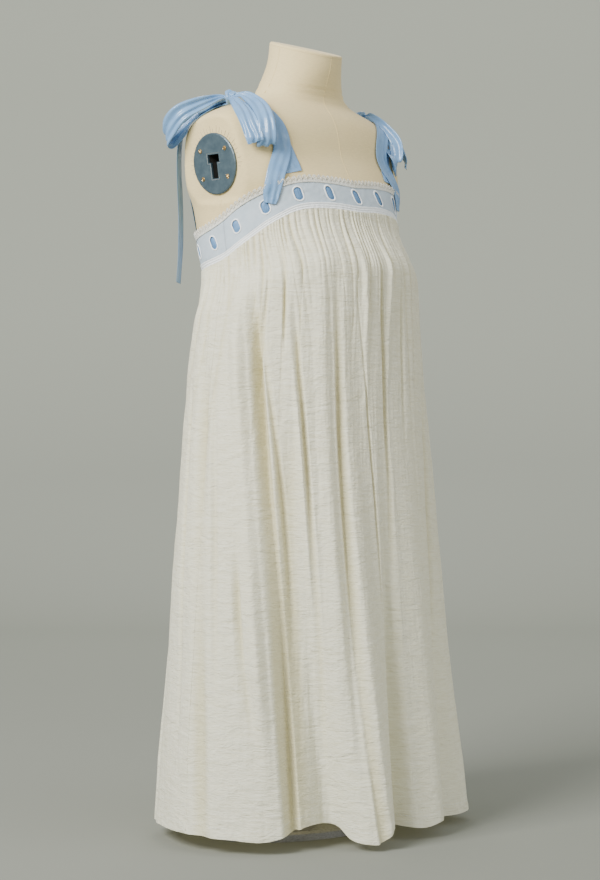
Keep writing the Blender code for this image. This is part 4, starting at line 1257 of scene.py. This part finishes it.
def inside_form(points, margin):
    """Which points are inside the dress form, or nearer to it than a margin."""
    z = points[..., 2]
    centre = curve(FORM, "z", z, "shift")
    angle = np.arctan2(points[..., 0], centre - points[..., 1])
    edge = form_points(angle, z)
    far = np.hypot(points[..., 0], points[..., 1] - centre)
    return (far < np.hypot(edge[..., 0], edge[..., 1] - centre) + margin) & (z < NECK_TOP)


def push_out(points, normal, margin):
    """Move points along their directions until they are clear of the dress form."""
    moved = points.copy()
    for _ in range(PUSH_TRIES):
        blocked = inside_form(moved, margin)
        if not blocked.any():
            break
        moved[blocked] += normal[blocked] * PUSH_STEP
    return moved


def smooth_rows(points, times):
    """Even out a grid of points along its length."""
    for _ in range(times):
        points[1:-1] = 0.5 * points[1:-1] + 0.25 * (points[:-2] + points[2:])
    return points


def form_ribbon(name, table, side, seed, steps=RIBBON_STEPS, ends=(True, True), spread=(-0.5, 0.5)):
    """Ribbon lying on the form along a route of angles and heights."""
    at, row, rows = stations_of(table, steps)
    angle = -np.radians(row["angle"])
    centre = form_points(angle, row["z"])
    behind, ahead = (
        form_points(-np.radians(curve(rows, "n", near, "angle")), curve(rows, "n", near, "z"))
        for near in (at - STATION_STEP, at + STATION_STEP))
    normal = form_normals(angle, row["z"])
    across = unit(np.cross(normal, unit(ahead - behind)))
    share = np.linspace(-0.5, 0.5, RIBBON_ACROSS)
    wide = np.linspace(*spread, RIBBON_ACROSS)
    laid = centre[:, None, :] + across[:, None, :] * (row["width"][:, None] * wide)[..., None]
    normals = np.repeat(normal[:, None, :], RIBBON_ACROSS, axis=1)
    lift = np.repeat(row["lift"][:, None], RIBBON_ACROSS, axis=1)
    points = smooth_rows(push_out(laid, normals, lift), 4)
    along = np.repeat(np.linspace(0, 1, steps)[:, None], RIBBON_ACROSS, axis=1)
    relief = ribbon_relief(np.repeat(share[None, :], steps, axis=0), along, row["width"][:, None], seed, ends)
    points = points + normals * (0.0006 + np.maximum(relief, -0.0007))[..., None]
    return ribbon_piece(name, points, side)


def free_ribbon(name, table, side, seed, steps=RIBBON_STEPS, ends=(True, False), cup=0.0, spread=(-0.5, 0.5)):
    """Free ribbon along places measured from the knot."""
    row = stations_of(table, steps)[1]
    centre = np.stack([KNOT.x - row["side"], KNOT.y + row["back"], KNOT.z + row["up"]], axis=1)
    way = unit(np.gradient(centre, axis=0))
    across = np.stack([row["ax"], row["ay"], row["az"]], axis=1)
    across = unit(across - way * np.sum(across * way, axis=1, keepdims=True))
    normal = unit(np.cross(way, across))
    share = np.linspace(-0.5, 0.5, RIBBON_ACROSS)
    wide = np.linspace(*spread, RIBBON_ACROSS)
    points = centre[:, None, :] + across[:, None, :] * (row["width"][:, None] * wide)[..., None]
    along = np.repeat(np.linspace(0, 1, steps)[:, None], RIBBON_ACROSS, axis=1)
    shares = np.repeat(share[None, :], steps, axis=0)
    shown = row["width"][:, None] * (spread[1] - spread[0])
    relief = ribbon_relief(shares, along, row["width"][:, None], seed, ends, spare_depth(shown))
    relief = relief + cup * (0.25 - shares ** 2) * 4 * np.sin(pi * along)
    points = points + normal[:, None, :] * (RIBBON / 2 + relief)[..., None]
    outward = points - np.array([0.0, 0.013, 0.0])
    outward[..., 2] = np.maximum(0.03, points[..., 2] - 1.02)
    points = smooth_rows(push_out(points, unit(outward), 0.0025), 3)
    return ribbon_piece(name, points, side)


def ribbon_piece(name, points, side):
    """Satin strip, mirrored for the left, with the length of its route."""
    grid = points.copy()
    grid[..., 0] *= -side
    item = grid_object(name, grid, SATIN)
    thicken(item, SELVAGE, 0.0)
    item["length"] = float(np.linalg.norm(np.diff(grid, axis=0), axis=2).sum(axis=0).mean())
    return item


def bow_knot(name, side):
    """Crumpled middle of a bow: pleats turned round it and a crossing wrap."""
    tilt = np.linspace(0.10, pi - 0.10, 44)[:, None]
    round_way = np.linspace(0, 2 * pi, 72, endpoint=False)[None, :]
    ridges = 0.13 * np.cos(5 * tilt + 1.2 * np.cos(round_way + 0.6)) + 0.09 * np.cos(3 * round_way + 4 * tilt)
    crumple = 0.12 * noise(round_way * 64 / (2 * pi) / 6, tilt * 4 + 3, 81 + side, 11)
    size = 1.0 + ridges + crumple
    x = KNOT_SIZE.x * size * np.sin(tilt) * np.cos(round_way)
    y = KNOT_SIZE.y * size * np.cos(tilt) + 0 * round_way
    z = KNOT_SIZE.z * size * np.sin(tilt) * np.sin(round_way)
    grid = np.stack([KNOT.x + x, KNOT.y + y, KNOT.z + z], axis=-1)
    grid[..., 0] *= -side
    points = list(map(tuple, grid.reshape(-1, 3)))
    rows, columns = grid.shape[:2]
    faces = grid_faces(rows, columns, closed=True)
    faces.append(tuple(range(columns)))
    faces.append(tuple(reversed(range((rows - 1) * columns, rows * columns))))
    return put(name, points, faces, SATIN)


def make_bow(label, side, strap_front):
    """Straps, knot, loops and tails over one shoulder."""
    knot = finish_piece(bow_knot(f"bow_knot_{label}", side), "satin", f"knot_{label}")
    on_form = (("strap_front", strap_front, 3), ("strap_back", STRAP_BACK, 5), ("tail_front", TAIL_FRONT, 7))
    spreads = RIGHT_SPREADS if side < 0 else LEFT_SPREADS
    loop_front = LOOP_FRONT if side < 0 else [dict(row, ax=-0.54, ay=-0.54, az=0.5) for row in LOOP_FRONT]
    free = (("loop_back", LOOP_BACK, 11, 0.0), ("loop_front", loop_front, 13, 0.003),
            ("loop_small", LOOP_SMALL, 17, 0.002), ("tail_back", TAIL_BACK, 19, 0.0015))
    made = []
    for name, table, seed in on_form:
        ends = (True, False) if name == "tail_front" else (True, True)
        spread = STRAP_BACK_SPREAD if name == "strap_back" else EVEN
        made.append((name, form_ribbon(f"satin_{name}_{label}", table, side, seed + side, ends=ends,
                                       spread=spread)))
    for name, table, seed, cup in free:
        made.append((name, free_ribbon(f"satin_{name}_{label}", table, side, seed + side, cup=cup,
                                       spread=spreads.get(name, EVEN))))
    for name, item in made:
        finish_piece(item, "satin", f"{name}_{label}")
        held = "hung" if name == "tail_back" else "folded"
        held = "stretched" if name.startswith("strap") else held


make_bow("right", -1, STRAP_FRONT_RIGHT)
make_bow("left", 1, STRAP_FRONT_LEFT)


# Dress form
POCKET_RADIUS = 0.034
SEAM_RADIUS = 0.00032
LINEN_ROWS = 210
LINEN_COLUMNS = 240


def lean_neck(points):
    """Lean the neck's upper part so that its top slopes down to the front."""
    share = np.maximum(0.0, (points[..., 2] - NECK_BASE) / (NECK_TOP - NECK_BASE))
    moved = points.copy()
    moved[..., 2] += NECK_TILT * share * points[..., 1]
    return moved


def neck_creases(angle, z):
    """Faint level creases low on the neck."""
    near = np.exp(-((z - 1.128) / 0.016) ** 2)
    return near * 0.0006 * np.sin((z + 0.004 * np.cos(angle)) * 2 * pi / 0.010)


def make_torso():
    """Linen cover, open behind the armhole plates, with pockets behind their keyholes."""
    angle = np.linspace(0, 2 * pi, LINEN_COLUMNS, endpoint=False)[None, :]
    z = np.linspace(FORM[0]["z"], FORM_TOP, LINEN_ROWS)[:, None]
    grid = form_points(angle, z)
    normal = form_normals(np.broadcast_to(angle, grid.shape[:2]), np.broadcast_to(z, grid.shape[:2]))
    grid = lean_neck(grid + normal * (neck_creases(angle, z) - 0.0001)[..., None])
    faces = []
    for face in grid_faces(LINEN_ROWS, LINEN_COLUMNS, closed=True):
        middle = np.mean([grid.reshape(-1, 3)[i] for i in face], axis=0)
        side = 1 if middle[0] > 0 else -1
        if abs(middle[0]) > 0.15 and far_from_plate(middle, side) < POCKET_RADIUS:
            continue
        faces.append(tuple(reversed(face)))
    faces.append(tuple(range(LINEN_COLUMNS)))
    torso = put("linen_torso", grid.reshape(-1, 3), faces, LINEN)
    finish_piece(torso, "linen", "form_torso")
    return torso


def far_from_plate(point, side):
    """Distance of a point from the middle of an armhole plate."""
    return (Vector(point) - arm_frame(side).translation).length


def key_outline(grow=0.0):
    """Keyhole: a wide upper part and a narrow tail below it, corners slightly rounded."""
    right = [(KEY_NARROW + grow, KEY_BOTTOM - grow), (KEY_NARROW + grow, KEY_STEP - grow),
             (KEY_WIDE + grow, KEY_STEP - grow), (KEY_WIDE + grow, KEY_TOP + grow)]
    return [(-x, y) for x, y in reversed(right)] + right


def make_pocket(side, label):
    """Pocket behind a keyhole, near black as painted shade."""
    matrix = arm_frame(side)
    outline = key_outline(0.0004)
    count = len(outline)
    points = [matrix @ Vector((x, y, level)) for level in (0.0004, -KEY_POCKET_DEPTH) for x, y in outline]
    faces = [(i, (i + 1) % count, count + (i + 1) % count, count + i) for i in range(count)]
    faces.append(tuple(range(count, 2 * count)))
    pocket = put(f"keyhole_pocket_{label}", points, faces, POCKET_PAINTED_SHADE, smooth=False)
    return finish_piece(pocket, "linen")


def make_key_rim(side, label):
    """Bare bevelled metal edge of a keyhole."""
    matrix = arm_frame(side)
    outer, inner = key_outline(0.0019), key_outline(0.0001)
    count = len(outer)
    levels = ((outer, PLATE_THICKNESS + 0.0001), (inner, PLATE_THICKNESS - 0.0006), (inner, 0.0010))
    points = [matrix @ Vector((x, y, level)) for outline, level in levels for x, y in outline]
    faces = []
    for ring in range(2):
        for i in range(count):
            n = (i + 1) % count
            faces.append((ring * count + i, ring * count + n, (ring + 1) * count + n, (ring + 1) * count + i))
    rim = put(f"keyhole_rim_{label}", points, faces, EDGE_STEEL, smooth=False)
    thicken(rim, 0.0002, 0.0)
    return finish_piece(rim, "plate")


def make_screws(side, label):
    """Countersunk brass screws with slotted heads."""
    matrix = arm_frame(side)
    profile = ((0.0033, 0.0), (0.0035, 0.0005), (0.0031, 0.0010), (0.0022, 0.0013), (0.0011, 0.00145))
    around = 32
    points, faces = [], []
    for number, turn in enumerate(SCREW_TURNS):
        a = radians(turn)
        cx, cy = SCREW_CIRCLE * sin(a), SCREW_CIRCLE * cos(a)
        slot_turn = 0.6 + 1.7 * number
        base = len(points)
        for radius, high in profile:
            for i in range(around):
                b = 2 * pi * i / around + slot_turn
                x, y = radius * cos(b), radius * sin(b)
                in_slot = abs(radius * sin(b - slot_turn)) < 0.00055
                level = PLATE_THICKNESS + 0.0001 + (min(high, 0.0005) if in_slot else high)
                points.append(matrix @ Vector((cx + x, cy + y, level)))
        for ring in range(len(profile) - 1):
            for i in range(around):
                n = (i + 1) % around
                faces.append((base + ring * around + i, base + ring * around + n,
                              base + (ring + 1) * around + n, base + (ring + 1) * around + i))
        faces.append(tuple(base + (len(profile) - 1) * around + i for i in range(around)))
        faces.append(tuple(base + i for i in reversed(range(around))))
    screws = put(f"slotted_screws_{label}", points, faces, BRASS, smooth=False)
    return finish_piece(screws, "brass", *(f"screw_{label}_{n + 1}" for n in range(4)))


def plate_puckers(side, label):
    """Small tucks where the linen is drawn under a plate, coloured darker than the linen as painted shade."""
    matrix = arm_frame(side)
    lines = []
    sizes = np.random.default_rng(91).uniform(0.2, 1.0, 48)
    for i in range(48):
        a = 2 * pi * i / 48 + 0.05 * sizes[i]
        if cos(a) < -0.25:
            continue
        first, last = PLATE_RADIUS + 0.001, PLATE_RADIUS + 0.002 + 0.009 * sizes[i]
        line = []
        for radius in np.linspace(first, last, 4):
            spot = matrix @ Vector((radius * sin(a), radius * cos(a), 0))
            centre = curve(FORM, "z", np.array([spot.z]), "shift")[0]
            way = atan2(spot.x, centre - spot.y)
            line.append(form_points(np.array([way]), np.array([spot.z]), 0.0001)[0])
        lines.append(line)
    return finish_piece(tubes(f"plate_tucks_{label}", lines, 0.00024, TUCK_PAINTED_SHADE, sides=5), "linen")


def form_seam(name, angle_rows, first, last):
    """Sewn seam up the linen cover."""
    z = np.linspace(first, last, 150)
    angle = np.radians(np.interp(z, [row[0] for row in angle_rows], [row[1] for row in angle_rows]))
    return tubes(name, [lean_neck(form_points(angle, z, 0.0))], SEAM_RADIUS, LINEN, sides=6)


def make_form_seams():
    """Seams at the centre front and back, up the sides and up the neck."""
    routes = (("seam_front", 0, 0.43, 1.196), ("seam_back", 180, 0.43, 1.196),
              ("seam_side_right", -90, 0.43, 0.955), ("seam_side_left", 90, 0.43, 0.955))
    for name, angle, first, last in routes:
        finish_piece(form_seam(name, ((0.0, angle), (2.0, angle)), first, last), "linen")
    for name, side in (("seam_neck_right", -1), ("seam_neck_left", 1)):
        seam = form_seam(name, ((0.0, 90 * side), (2.0, 90 * side)), 1.106, 1.196)
        finish_piece(seam, "linen")


def make_neck_top():
    """Soft-edged cover on the sloping top of the neck."""
    angle = np.linspace(0, 2 * pi, 160, endpoint=False)
    rim = lean_neck(form_points(angle, np.full_like(angle, FORM_TOP), -0.0004))
    middle = rim.mean(axis=0)
    lean = np.array(Vector((0, -NECK_TILT, 1)).normalized())
    profile = ((1.000, -0.0006), (1.004, 0.0008), (1.000, 0.0022), (0.985, 0.0034), (0.950, 0.0040),
               (0.880, 0.0043), (0.700, 0.0045), (0.450, 0.0046), (0.200, 0.0046))
    rings = []
    for share, high in profile:
        wave = 0.0002 * np.cos(angle * 23 + 2 * np.cos(3 * angle)) * (share > 0.9)
        rings.append(middle + (rim - middle) * share + lean * (high + wave)[:, None])
    grid = np.array(rings)
    rows, columns = grid.shape[:2]
    faces = [tuple(reversed(face)) for face in grid_faces(rows, columns, closed=True)]
    faces.append(tuple(range((rows - 1) * columns, rows * columns)))
    top = put("linen_neck_top", grid.reshape(-1, 3), faces, LINEN)
    bead = tubes("neck_edge_seam", [np.concatenate([rim, rim[:2]])], 0.0007, LINEN, sides=6)
    finish_piece(bead, "linen")
    return finish_piece(top, "linen", "neck_lid")


def make_form():
    """Linen cover, neck top, armhole plates and stand."""
    make_torso()
    make_neck_top()
    make_form_seams()
    for side, label in ((-1, "right"), (1, "left")):
        make_pocket(side, label)
        make_key_rim(side, label)
        make_screws(side, label)
        plate_puckers(side, label)
        give_material(f"armhole_plate_{label}", ENAMEL)
    give_material("pole", STEEL)
    give_material("stand_foot", STEEL)


def give_material(node, made):
    """Better material on a solid that is kept as it is."""
    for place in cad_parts[node].material_slots:
        place.material = made


make_form()
